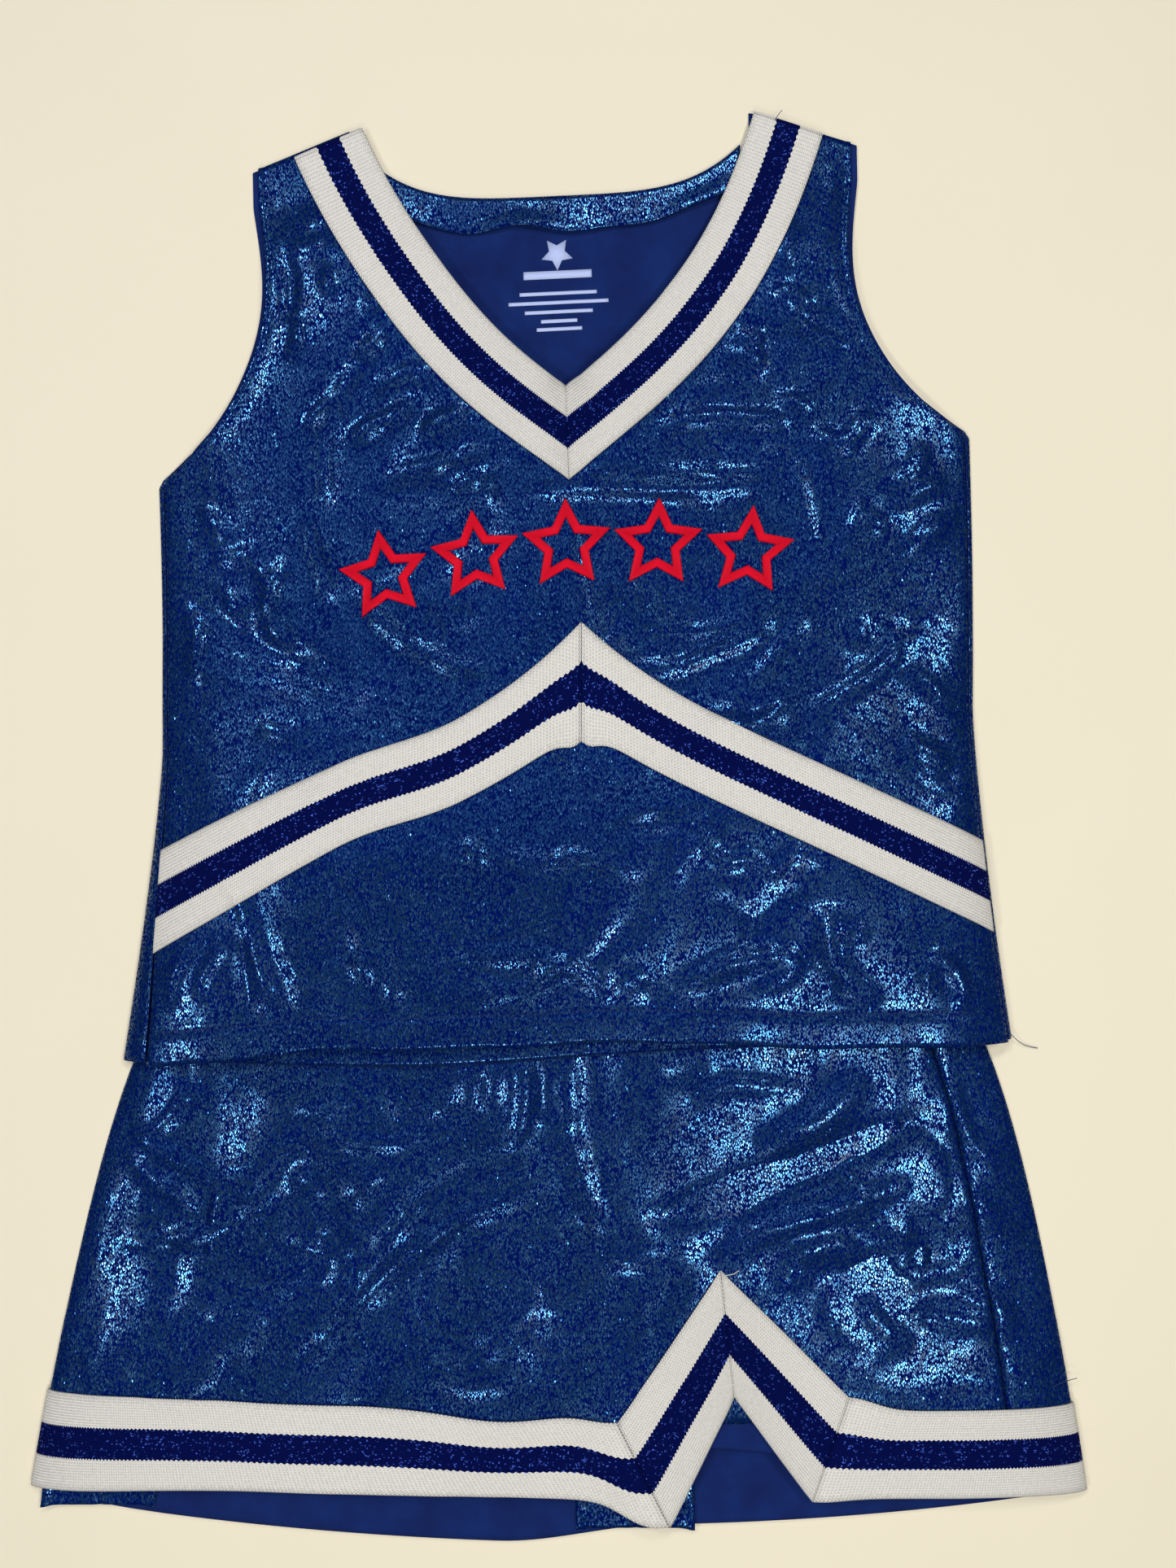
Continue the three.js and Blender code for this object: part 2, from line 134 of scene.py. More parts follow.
@dataclass(frozen=True)
class Fold:
    """A fold or a crease in lying cloth, along a drawn line.

    Attributes:
        line: Points along it, in the pattern frame.
        height: How far it rises, or sinks if negative.
        width: Half its width, on its soft side.
        lean: Share of that width on its other, steeper side.
    """

    line: Sequence[tuple[float, float]]
    height: float
    width: float
    lean: float = 1.0

    def rise(self, x: Array, y: Array) -> Array:
        """Height of the fold at each place.

        Args:
            x: Distances from the centre line.
            y: Heights above the shell's hem.

        Returns:
            How high the fold stands at each place.
        """
        best = np.full(np.shape(x), 1e9)
        side = np.ones(np.shape(x))
        share = np.zeros(np.shape(x))
        spans = len(self.line) - 1
        for i, ((ax, ay), (bx, by)) in enumerate(zip(self.line, self.line[1:])):
            dx, dy = bx - ax, by - ay
            t = ((x - ax) * dx + (y - ay) * dy) / (dx * dx + dy * dy)
            held = np.clip(t, 0, 1)
            away = np.hypot(x - ax - dx * held, y - ay - dy * held)
            near = away < best
            turned = np.sign((x - ax) * dy - (y - ay) * dx)
            best = np.where(near, away, best)
            side = np.where(near, turned, side)
            share = np.where(near, (i + held) / spans, share)
        width = self.width * np.where(side > 0, 1.0, self.lean)
        fade = np.sin(math.pi * np.clip(share, 0.0, 1.0)) ** 0.6
        return self.height * np.exp(-((best / width) ** 2)) * fade


class Ripple:
    """A soft random unevenness, made of plane waves with fixed directions and phases."""

    def __init__(self, seed: int, shortest: float, longest: float, waves: int = 26) -> None:
        """Chooses the waves.

        Args:
            seed: Seed of the choice.
            shortest: Shortest wavelength, mm.
            longest: Longest wavelength, mm.
            waves: How many waves there are.
        """
        draw = np.random.RandomState(seed)
        self.length = shortest * (longest / shortest) ** draw.rand(waves)
        self.angle = draw.rand(waves) * 2 * math.pi
        self.phase = draw.rand(waves) * 2 * math.pi
        self.size = (self.length / longest) ** 0.9 * math.sqrt(2 / waves)

    def at(self, x: Array, y: Array) -> Array:
        """Unevenness at each place, mostly from -1 to 1.

        Args:
            x: Distances from the centre line.
            y: Heights above the shell's hem.

        Returns:
            The unevenness at each place.
        """
        total = np.zeros(np.shape(x))
        for length, angle, phase, size in zip(self.length, self.angle, self.phase, self.size):
            along = x * math.cos(angle) + y * math.sin(angle)
            total = total + size * np.sin(2 * math.pi * along / length + phase)
        return total


def scattered(seed: int, count: int, half: float, low: float, high: float) -> tuple[Fold, ...]:
    """Short curved creases, scattered over a stretch of cloth.

    Args:
        seed: Seed of their places.
        count: How many there are.
        half: Half the width that they cover, mm.
        low: The lowest of them, mm.
        high: The highest of them, mm.

    Returns:
        The creases.
    """
    draw = np.random.RandomState(seed)
    folds = []
    for _ in range(count):
        x, y = draw.uniform(-half, half), draw.uniform(low, high)
        heading, bend = draw.uniform(0, 2 * math.pi), draw.uniform(-0.75, 0.75)
        step = draw.uniform(7, 17)
        line = [(x, y)]
        for _ in range(4):
            x, y = x + step * math.cos(heading), y + step * math.sin(heading)
            heading += bend
            line.append((x, y))
        height, width = draw.uniform(0.5, 1.3), draw.uniform(2.8, 6.0)
        folds.append(Fold(tuple(line), height * draw.choice((-1, 1)), width, draw.uniform(0.45, 1.0)))
    return tuple(folds)


@dataclass(frozen=True)
class Drape:
    """How a stretch of cloth lies: its folds and its unevenness.

    Attributes:
        folds: Its folds and creases.
        broad: Its slow waves.
        fine: Its small wrinkles, which come in patches.
        warp: How both are bent.
        broad_height: Height of the slow waves, mm.
        fine_height: Height of the small wrinkles, mm.
        fold_height: How much higher the folds are than drawn.
    """

    folds: Sequence[Fold]
    broad: Ripple
    fine: Ripple
    warp: Ripple
    broad_height: float = 1.0
    fine_height: float = 0.45
    fold_height: float = 1.3

    def rise(self, x: Array, y: Array) -> Array:
        """Height over the smooth shape at each place of the pattern frame.

        Args:
            x: Distances from the centre line.
            y: Heights above the shell's hem.

        Returns:
            The height at each place.
        """
        wx = x + 7 * self.warp.at(y, x)
        wy = y + 7 * self.warp.at(x + 90, y - 40)
        fine = self.fine.at(wx, wy)
        ridged = 0.5 - np.sqrt(fine * fine + 0.02)
        patchy = smooth(self.warp.at(x * 0.7 - 50, y * 0.7 + 120), -0.3, 1.1)
        total = self.broad_height * self.broad.at(wx, wy)
        total = total + self.fine_height * patchy * (fine + 1.2 * ridged)
        for fold in self.folds:
            total = total + self.fold_height * fold.rise(x, y)
        return total


# ---- Finishes --------------------------------------------------------------------------------


class Tone(Enum):
    """Colours, in linear light."""

    NAVY = (0.001, 0.0065, 0.1)
    NAVY_DEEP = (0.0002, 0.0035, 0.05)
    FOIL = (0.022, 0.1, 0.2)
    FOIL_DEEP = (0.008, 0.044, 0.105)
    FOIL_PALE = (0.085, 0.21, 0.32)
    WRONG_SIDE = (0.0018, 0.022, 0.142)
    WHITE = (0.765, 0.745, 0.67)
    # WHITE_SHADE: painted shade on the braid's white, in the hollows of its knit and in its stitch
    # dents; also the darker clouds of the white thread and the elastic
    WHITE_SHADE = (0.49, 0.475, 0.43)
    ROYAL = (0.0008, 0.003, 0.05)
    GLITTER = (0.03, 0.07, 0.35)
    RED = (1.0, 0.008, 0.035)
    # Painted shade of the red satin stitch, in the grooves between its threads
    RED_DEEP = (0.66, 0.003, 0.018)
    PRINT = (0.4, 0.47, 0.72)
    THREAD = (0.004, 0.018, 0.1)
    ELASTIC = (0.72, 0.72, 0.7)
    TABLE = (0.705, 0.645, 0.485)
    TABLE_SHADE = (0.675, 0.615, 0.455)

    @property
    def rgba(self) -> tuple[float, float, float, float]:
        """The colour with full alpha."""
        return (*self.value, 1.0)


@dataclass(frozen=True)
class Wire:
    """One number in a material's node tree, with a number's arithmetic."""

    tree: bpy.types.NodeTree
    socket: bpy.types.NodeSocket

    def maths(self, operation: str, *others: "Wire | float", swap: bool = False) -> "Wire":
        """Adds a Math node.

        Args:
            operation: The node's operation.
            others: The values after this one.
            swap: Whether this value comes second.

        Returns:
            The node's result.
        """
        node = self.tree.nodes.new("ShaderNodeMath")
        node.operation = operation
        values = [self, *others]
        if swap:
            values.reverse()
        for slot, value in zip(node.inputs, values):
            if isinstance(value, Wire):
                self.tree.links.new(value.socket, slot)
            else:
                slot.default_value = value
        return Wire(self.tree, node.outputs[0])

    def __add__(self, other: "Wire | float") -> "Wire":
        """Sum."""
        return self.maths("ADD", other)

    __radd__ = __add__

    def __sub__(self, other: "Wire | float") -> "Wire":
        """Difference."""
        return self.maths("SUBTRACT", other)

    def __rsub__(self, other: float) -> "Wire":
        """Difference, from a number."""
        return self.maths("SUBTRACT", other, swap=True)

    def __mul__(self, other: "Wire | float") -> "Wire":
        """Product."""
        return self.maths("MULTIPLY", other)

    __rmul__ = __mul__

    def __truediv__(self, other: "Wire | float") -> "Wire":
        """Quotient."""
        return self.maths("DIVIDE", other)

    def __gt__(self, other: "Wire | float") -> "Wire":
        """1 where this is the greater, and otherwise 0."""
        return self.maths("GREATER_THAN", other)

    def __lt__(self, other: "Wire | float") -> "Wire":
        """1 where this is the lesser, and otherwise 0."""
        return self.maths("LESS_THAN", other)

    def wave(self, pitch: float) -> "Wire":
        """Sine of this length over a pitch, from -1 to 1."""
        return (self * (2 * math.pi / pitch)).maths("SINE")

    def saw(self, pitch: float) -> "Wire":
        """Triangle wave of this length over a pitch, from 0 to 1."""
        return self.maths("PINGPONG", pitch / 2) / (pitch / 2)

    def clamped(self) -> "Wire":
        """This value held between 0 and 1."""
        return self.maths("MINIMUM", 1.0).maths("MAXIMUM", 0.0)


class Paint:
    """A material under construction, with one Principled shader."""

    def __init__(self, name: str) -> None:
        """Starts a material of that name.

        Args:
            name: The material's name.
        """
        self.material = bpy.data.materials.new(name)
        self.material.use_nodes = True
        self.tree = self.material.node_tree
        self.shader = self.tree.nodes["Principled BSDF"]

    def node(self, kind: str, settings: dict[str, object], values: dict[str | int, object],
             *outs: str | int) -> tuple[Wire, ...]:
        """Adds a node.

        Args:
            kind: The node's type.
            settings: Its properties, which are set first.
            values: What its sockets hold or are linked to.
            outs: Which outputs are wanted.

        Returns:
            Those outputs.
        """
        made = self.tree.nodes.new(kind)
        for key, value in settings.items():
            setattr(made, key, value)
        for key, value in values.items():
            self.feed(made.inputs[key], value)
        return tuple(Wire(self.tree, made.outputs[out]) for out in outs)

    def feed(self, socket: bpy.types.NodeSocket, value: object) -> None:
        """Links or sets a socket.

        Args:
            socket: The socket.
            value: A wire to link to it, or the value that it holds.
        """
        if isinstance(value, Wire):
            self.tree.links.new(value.socket, socket)
        else:
            socket.default_value = value

    def surface(self, **values: object) -> None:
        """Sets the shader's sockets, whose names have _ for spaces."""
        for key, value in values.items():
            self.feed(self.shader.inputs[key.replace("_", " ")], value)

    def blend(self, share: Wire | float, a: object, b: object) -> Wire:
        """Mixes two colours, by the share of the second."""
        return self.node("ShaderNodeMix", {"data_type": "RGBA"}, {0: share, 6: a, 7: b}, 2)[0]

    def vector(self, operation: str, values: dict[str | int, object]) -> Wire:
        """A Vector Math node's result."""
        return self.node("ShaderNodeVectorMath", {"operation": operation}, values, 0)[0]

    def split(self, vector: Wire) -> tuple[Wire, Wire]:
        """The first two parts of a vector."""
        return self.node("ShaderNodeSeparateXYZ", {}, {0: vector}, 0, 1)

    def object_place(self) -> Wire:
        """Object coordinates."""
        return self.node("ShaderNodeTexCoord", {}, {}, "Object")[0]

    def cloth_place(self) -> tuple[Wire, Wire]:
        """The piece's own UV map as two lengths in metres: along and across."""
        return self.split(self.node("ShaderNodeUVMap", {"uv_map": UV}, {}, 0)[0])

    def noise(self, place: Wire, scale: float, detail: float = 2.0, distortion: float = 0.0) -> Wire:
        """Noise from 0 to 1."""
        values = {"Vector": place, "Scale": scale, "Detail": detail, "Distortion": distortion}
        return self.node("ShaderNodeTexNoise", {}, values, 0)[0]

    def chances(self, cells: dict[str | int, object]) -> tuple[Wire, Wire, Wire]:
        """A Voronoi texture's random colour for each cell, and its green and blue."""
        chance = self.node("ShaderNodeTexVoronoi", {}, cells, "Color")[0]
        return (chance, *self.node("ShaderNodeSeparateColor", {}, {0: chance}, 1, 2))

    def raised(self, height: Wire, distance: float, strength: float) -> Wire:
        """A Bump node's normal."""
        values = {"Height": height, "Distance": distance, "Strength": strength}
        return self.node("ShaderNodeBump", {}, values, 0)[0]


@dataclass(frozen=True)
class FoilKnit:
    """Navy stretch knit whose face is printed with small slanting dots of foil.

    Attributes:
        dots: Dots in a metre, across their slant.
        slant: Direction of the dots, in radians.
        stretch: Width of a dot as a share of its length.
        tilt: How far each dot leans from the cloth.
        level: Share of the dots that lean no further.
        glint: How much further the others lean.
        rough: Roughness of the foil.
        gloss: Weight of the clear gloss over the foil.
        scatter: How irregular the dots' places are.
        reach: Distance from a dot's middle to its edge, in cells.
        crispness: How sharp that edge is.
        crumpled: Height of the cloth's own fine crumples, in metres.
        dull: Share of the dots that are not pale.
        metal: How metallic a dot is.
        knit_rough: Roughness of the knit between the dots.
        gloss_rough: Roughness of the gloss.
    """

    name: str = "foil_dot_knit"
    dots: float = 1500.0
    slant: float = 0.62
    stretch: float = 0.5
    tilt: float = 0.035
    level: float = 0.95
    glint: float = 0.35
    rough: float = 0.115
    gloss: float = 0.22
    scatter: float = 0.8
    reach: float = 0.56
    crispness: float = 4.0
    crumpled: float = 0.0009
    dull: float = 0.88
    metal: float = 0.9
    knit_rough: float = 0.62
    gloss_rough: float = 0.24

    def made(self) -> bpy.types.Material:
        """Makes the material.

        Returns:
            The material.
        """
        paint = Paint(self.name)
        place = paint.object_place()
        slanting = {"Vector": place, "Rotation": (0, 0, self.slant), "Scale": (1, self.stretch, 1)}
        turned = paint.node("ShaderNodeMapping", {}, slanting, 0)[0]
        cells = {"Vector": turned, "Scale": self.dots, "Randomness": self.scatter}
        distance = paint.node("ShaderNodeTexVoronoi", {}, cells, "Distance")[0]
        chance, pick, other = paint.chances(cells)
        dot = ((self.reach - distance) * self.crispness).clamped()
        crumple = paint.raised(paint.noise(place, 40.0, 1.5, 0.6), self.crumpled, 1.0)
        amount = (other > self.level) * self.glint + self.tilt
        lean = paint.vector("SUBTRACT", {0: chance, 1: (0.5, 0.5, 0.5)})
        scaled = paint.vector("SCALE", {0: lean, "Scale": amount})
        leaned = paint.vector("ADD", {0: scaled, 1: crumple})
        ground = paint.blend(paint.noise(place, 30.0, 3.0, 0.6), Tone.NAVY_DEEP.rgba, Tone.NAVY.rgba)
        foil = paint.blend(pick, Tone.FOIL_DEEP.rgba, Tone.FOIL.rgba)
        bright = paint.blend((pick > self.dull) * 0.5, foil, Tone.FOIL_PALE.rgba)
        paint.surface(
            Base_Color=paint.blend(dot, ground, bright),
            Metallic=dot * self.metal,
            Roughness=self.knit_rough - dot * (self.knit_rough - self.rough) + other * 0.1,
            Normal=paint.vector("NORMALIZE", {0: leaned}),
            Coat_Weight=dot * self.gloss,
            Coat_Roughness=self.gloss_rough,
            Specular_IOR_Level=0.0,
        )
        return paint.material


@dataclass(frozen=True)
class DullKnit:
    """The wrong side of the knit: dull navy, with fine wales."""

    name: str = "knit_wrong_side"
    pitch: float = 0.0011

    def made(self) -> bpy.types.Material:
        """Makes the material.

        Returns:
            The material.
        """
        paint = Paint(self.name)
        place = paint.object_place()
        x, y = paint.split(place)
        loops = x.wave(self.pitch) * y.wave(self.pitch * 0.8)
        cloud = paint.noise(place, 60.0, 3.0)
        paint.surface(
            Base_Color=paint.blend(cloud, Tone.NAVY_DEEP.rgba, Tone.WRONG_SIDE.rgba),
            Roughness=0.92 - cloud * 0.1,
            Normal=paint.raised(loops, 0.0002, 0.6),
            Specular_IOR_Level=0.2,
        )
        return paint.material


@dataclass(frozen=True)
class StripedBraid:
    """Knitted tape in three stripes: white, royal with glitter yarn, white.

    Attributes:
        width: Width of the tape, in metres.
        rib: Distance from one row of knitting to the next, in metres.
        tooth: Depth of the steps along the royal stripe's edges, in metres.
        margin: Distance from the tape's edge to the stitches that sew it down, in metres.
        stitch: Distance from one of those stitches to the next, in metres.
        plain: Share of the royal stripe's yarn that doesn't glitter.
    """

    name: str
    width: float
    rib: float = 0.0012
    tooth: float = 0.0007
    margin: float = 0.0018
    stitch: float = 0.0032
    plain: float = 0.91

    def made(self) -> bpy.types.Material:
        """Makes the material.

        Returns:
            The material.
        """
        paint = Paint(self.name)
        along, across = paint.cloth_place()
        place = paint.object_place()
        step = (along.saw(self.rib * 1.6) - 0.5) * self.tooth
        from_middle = (across - self.width / 2).maths("ABSOLUTE")
        royal = (from_middle + step) < self.width / 6
        rows = along.wave(self.rib)
        wales = across.wave(self.rib * 0.9)
        knit = rows * wales * 0.6 + rows * 0.4
        row = (from_middle - (self.width / 2 - self.margin)).maths("ABSOLUTE") < 0.0004
        stitch = row * (along.saw(self.stitch) > 0.45) * (1 - royal)
        fuzz = paint.noise(place, 900.0, 3.0)
        chance = paint.node("ShaderNodeTexVoronoi", {}, {"Vector": place, "Scale": 1500.0}, "Color")[0]
        pick = paint.node("ShaderNodeSeparateColor", {}, {0: chance}, 0)[0]
        speck = (pick > self.plain) * royal
        # Painted shade: the white is darker in the low places of the knit rows and of the fuzz, the same
        # places that the bump sinks.
        shade = (knit * 0.5 + fuzz * 0.8 + 0.1).clamped()
        white = paint.blend(shade, Tone.WHITE_SHADE.rgba, Tone.WHITE.rgba)
        # Painted shade: the sunk stitches are darker, as shade in their dents.
        white_with_stitch_shade = paint.blend(stitch * 0.35, white, Tone.WHITE_SHADE.rgba)
        blue = paint.blend(speck, Tone.ROYAL.rgba, Tone.GLITTER.rgba)
        paint.surface(
            Base_Color=paint.blend(royal, white_with_stitch_shade, blue),
            Metallic=speck * 0.9,
            Roughness=0.88 - speck * 0.6,
            Normal=paint.raised(knit + fuzz * 0.4 - stitch, 0.00035, 0.7),
            Specular_IOR_Level=0.03,
        )
        return paint.material


@dataclass(frozen=True)
class SatinThread:
    """Embroidery thread laid side by side across a stroke."""

    name: str = "red_satin_stitch"
    pitch: float = 0.00075

    def made(self) -> bpy.types.Material:
        """Makes the material.

        Returns:
            The material.
        """
        paint = Paint(self.name)
        along, across = paint.cloth_place()
        wander = paint.noise(paint.object_place(), 420.0, 2.0)
        thread = (along + wander * 0.0006).saw(self.pitch)
        paint.surface(
            # Painted shade: the grooves between the threads are darker, and the crowns keep the full
            # red.
            Base_Color=paint.blend(thread, Tone.RED_DEEP.rgba, Tone.RED.rgba),
            Roughness=0.46 - thread * 0.12,
            Normal=paint.raised(thread + wander * 0.4, 0.0003, 0.75),
            Specular_IOR_Level=0.2,
        )
        return paint.material


@dataclass(frozen=True)
class PlainFinish:
    """A finish with one colour, a little cloudiness and a fine grain.

    Attributes:
        light: The colour.
        dark: The colour of its clouds.
        rough: Roughness.
        grain: Height of the grain, in metres.
        scale: Fineness of the grain.
    """

    name: str
    light: Tone
    dark: Tone
    rough: float
    grain: float = 0.0001
    scale: float = 1400.0

    def made(self) -> bpy.types.Material:
        """Makes the material.

        Returns:
            The material.
        """
        paint = Paint(self.name)
        place = paint.object_place()
        cloud = paint.noise(place, 7.0, 4.0, 0.8)
        fine = paint.noise(place, self.scale, 2.0)
        paint.surface(
            Base_Color=paint.blend(cloud, self.dark.rgba, self.light.rgba),
            Roughness=self.rough + (fine - 0.5) * 0.12,
            Normal=paint.raised(fine, self.grain, 0.5),
        )
        return paint.material


class Finish(Enum):
    """Every finish on the uniform and the table."""

    FOIL = FoilKnit()
    DULL = DullKnit()
    SHELL_BRAID = StripedBraid("shell_braid_knit", 0.032)
    SKIRT_BRAID = StripedBraid("skirt_braid_knit", 0.038)
    SATIN = SatinThread()
    PRINT = PlainFinish("label_print", Tone.PRINT, Tone.PRINT, 0.6)
    THREAD = PlainFinish("navy_thread", Tone.THREAD, Tone.NAVY_DEEP, 0.6)
    WHITE_THREAD = PlainFinish("white_thread", Tone.WHITE, Tone.WHITE_SHADE, 0.7)
    ELASTIC = PlainFinish("woven_elastic", Tone.ELASTIC, Tone.WHITE_SHADE, 0.8, 0.0004, 700.0)
    TABLE = PlainFinish("table_top", Tone.TABLE, Tone.TABLE_SHADE, 0.55, 0.00005, 300.0)

    def material(self) -> bpy.types.Material:
        """The finish's material, made once."""
        found = bpy.data.materials.get(self.value.name)
        return found or self.value.made()


# ---- Making meshes ---------------------------------------------------------------------------


def to_frame(x: Array, y: Array, z: Array) -> Array:
    """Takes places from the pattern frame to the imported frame, by the waistband's box.

    Args:
        x: Distances from the centre line, mm.
        y: Heights above the shell's hem, mm.
        z: Heights above the table, mm.

    Returns:
        The points, in metres.
    """
    low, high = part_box("waistband")
    shift_x = (low.x + high.x) / 2
    shift_y = high.y - WAIST_TOP * MM
    return np.stack([x * MM + shift_x, y * MM + shift_y, z * MM], axis=-1)


def new_object(name: str, bm: bmesh.types.BMesh, finishes: Sequence[Finish]) -> bpy.types.Object:
    """Makes a smooth-shaded object.

    Args:
        name: Its name.
        bm: Its shape, which is freed.
        finishes: Its finishes, in the order of its material slots.

    Returns:
        The object.
    """
    mesh = bpy.data.meshes.new(name)
    bm.to_mesh(mesh)
    bm.free()
    for finish in finishes:
        mesh.materials.append(finish.material())
    mesh.polygons.foreach_set("use_smooth", [True] * len(mesh.polygons))
    made = bpy.data.objects.new(name, mesh)
    bpy.context.scene.collection.objects.link(made)
    return made


@dataclass
class Cloth:
    """A sheet of cloth: a fine grid laid on a surface and given a thickness.

    Attributes:
        name: The piece's name.
        surface: From u and v, both 0 to 1, to places in the pattern frame, mm.
        size: The cut's width and length, mm.
        finishes: Its outer and its inner finish.
        step: Rough size of a mesh square, mm.
        thickness: Its thickness, mm.
        hole: Says which places of the pattern frame are cut away.
        closed: Whether it joins up with itself, as a band does.
    """

    name: str
    surface: Surface
    size: tuple[float, float]
    finishes: Sequence[Finish] = (Finish.FOIL, Finish.DULL)
    step: float = 2.6
    thickness: float = 0.6
    hole: Callable[[Array, Array], Array] | None = None
    closed: bool = False

    def dress(self, body: str, node: bool = True) -> None:
        """Builds the piece, hides its frame node if it stands for one, sets it on its body and logs its
        faces.

        Args:
            body: The body that it moves with.
            node: Whether it stands for the frame's node of the same name.
        """
        made = self.build()
        if node:
            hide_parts(self.name)
        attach(made, body)
        width, length = self.size[0] * MM, self.size[1] * MM
        area = sum(face.area for face in made.data.polygons)
        area = min(max(area, LEAST_CUT * width * length), width * length)
        log.info("%s: %d faces", made.name, len(made.data.polygons))

    def build(self) -> bpy.types.Object:
        """Builds the piece, whose name is its own with a word added.

        Returns:
            The piece.
        """
        bm = bmesh.new()
        columns, rows = (max(2, round(side / self.step)) for side in self.size)
        uv = bm.loops.layers.uv.new(UV)
        bmesh.ops.create_grid(bm, x_segments=columns, y_segments=rows, size=0.5)
        bm.verts.ensure_lookup_table()
        flat = np.array([vert.co for vert in bm.verts]) + 0.5
        for face in bm.faces:
            for loop in face.loops:
                u, v = flat[loop.vert.index, :2]
                loop[uv].uv = (u * self.size[0] * MM, v * self.size[1] * MM)
        x, y, z = self.surface(flat[:, 0], flat[:, 1])
        for vert, point in zip(bm.verts, to_frame(x, y, z)):
            vert.co = point
        if self.hole is not None:
            gone = self.hole(x, y)
            bmesh.ops.delete(bm, geom=[vert for vert in bm.verts if gone[vert.index]], context="VERTS")
        if self.closed:
            bmesh.ops.remove_doubles(bm, verts=bm.verts, dist=1e-5)
        made = new_object(self.name + CLOTH, bm, self.finishes)
        thicken = made.modifiers.new("thickness", "SOLIDIFY")
        thicken.thickness = self.thickness * MM
        thicken.offset = 0.0
        thicken.material_offset = len(self.finishes) - 1
        thicken.material_offset_rim = len(self.finishes) - 1
        return made


def tube(name: str, points: Array, radius: float, finish: Finish) -> bpy.types.Object:
    """A thin round thread along points.

    Args:
        name: The piece's name.
        points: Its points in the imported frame, in metres.
        radius: Its radius, mm.
        finish: Its finish.

    Returns:
        The thread, as a mesh.
    """
    curve = bpy.data.curves.new(name, "CURVE")
    curve.dimensions = "3D"
    curve.bevel_depth = radius * MM
    curve.bevel_resolution = 2
    curve.use_fill_caps = True
    spline = curve.splines.new("NURBS")
    spline.points.add(len(points) - 1)
    for point, place in zip(spline.points, points):
        point.co = (*place, 1.0)
    spline.use_endpoint_u = True
    spline.order_u = 3
    spline.resolution_u = 4
    temporary = bpy.data.objects.new(name + "_line", curve)
    bpy.context.scene.collection.objects.link(temporary)
    bpy.context.view_layer.update()
    shaped = temporary.evaluated_get(bpy.context.evaluated_depsgraph_get())
    mesh = bpy.data.meshes.new_from_object(shaped)
    bpy.data.objects.remove(temporary)
    mesh.materials.clear()
    mesh.materials.append(finish.material())
    made = bpy.data.objects.new(name, mesh)
    bpy.context.scene.collection.objects.link(made)
    return made


def stitches(name: str, lines: Sequence[Place], finish: Finish, pitch: float = 3.0,
             length: float = 2.1, radius: float = 0.24) -> bpy.types.Object:
    """A run of sewn stitches, each a short lying thread.

    Args:
        name: The piece's name.
        lines: The rows of stitching, as places in the pattern frame.
        finish: The thread's finish.
        pitch: Distance from stitch to stitch, mm.
        length: Length of a stitch, mm.
        radius: The thread's radius, mm.

    Returns:
        All the stitches as one piece.
    """
    bm = bmesh.new()
    for line in lines:
        points = to_frame(*line)
        gone = np.concatenate([[0.0], np.cumsum(np.linalg.norm(np.diff(points, axis=0), axis=1))])
        for start in np.arange(pitch / 2, gone[-1] / MM - pitch, pitch) * MM:
            ends = [
                Vector([np.interp(place, gone, points[:, axis]) for axis in range(3)])
                for place in (start, start + length * MM)
            ]
            along = ends[1] - ends[0]
            turn = along.to_track_quat("Z", "Y").to_matrix().to_4x4()
            place = Matrix.Translation((ends[0] + ends[1]) / 2) @ turn
            bmesh.ops.create_cone(bm, cap_ends=True, segments=6, radius1=radius * MM,
                                  radius2=radius * MM, depth=along.length, matrix=place)
    return new_object(name, bm, [finish])


# ---- The shell -------------------------------------------------------------------------------


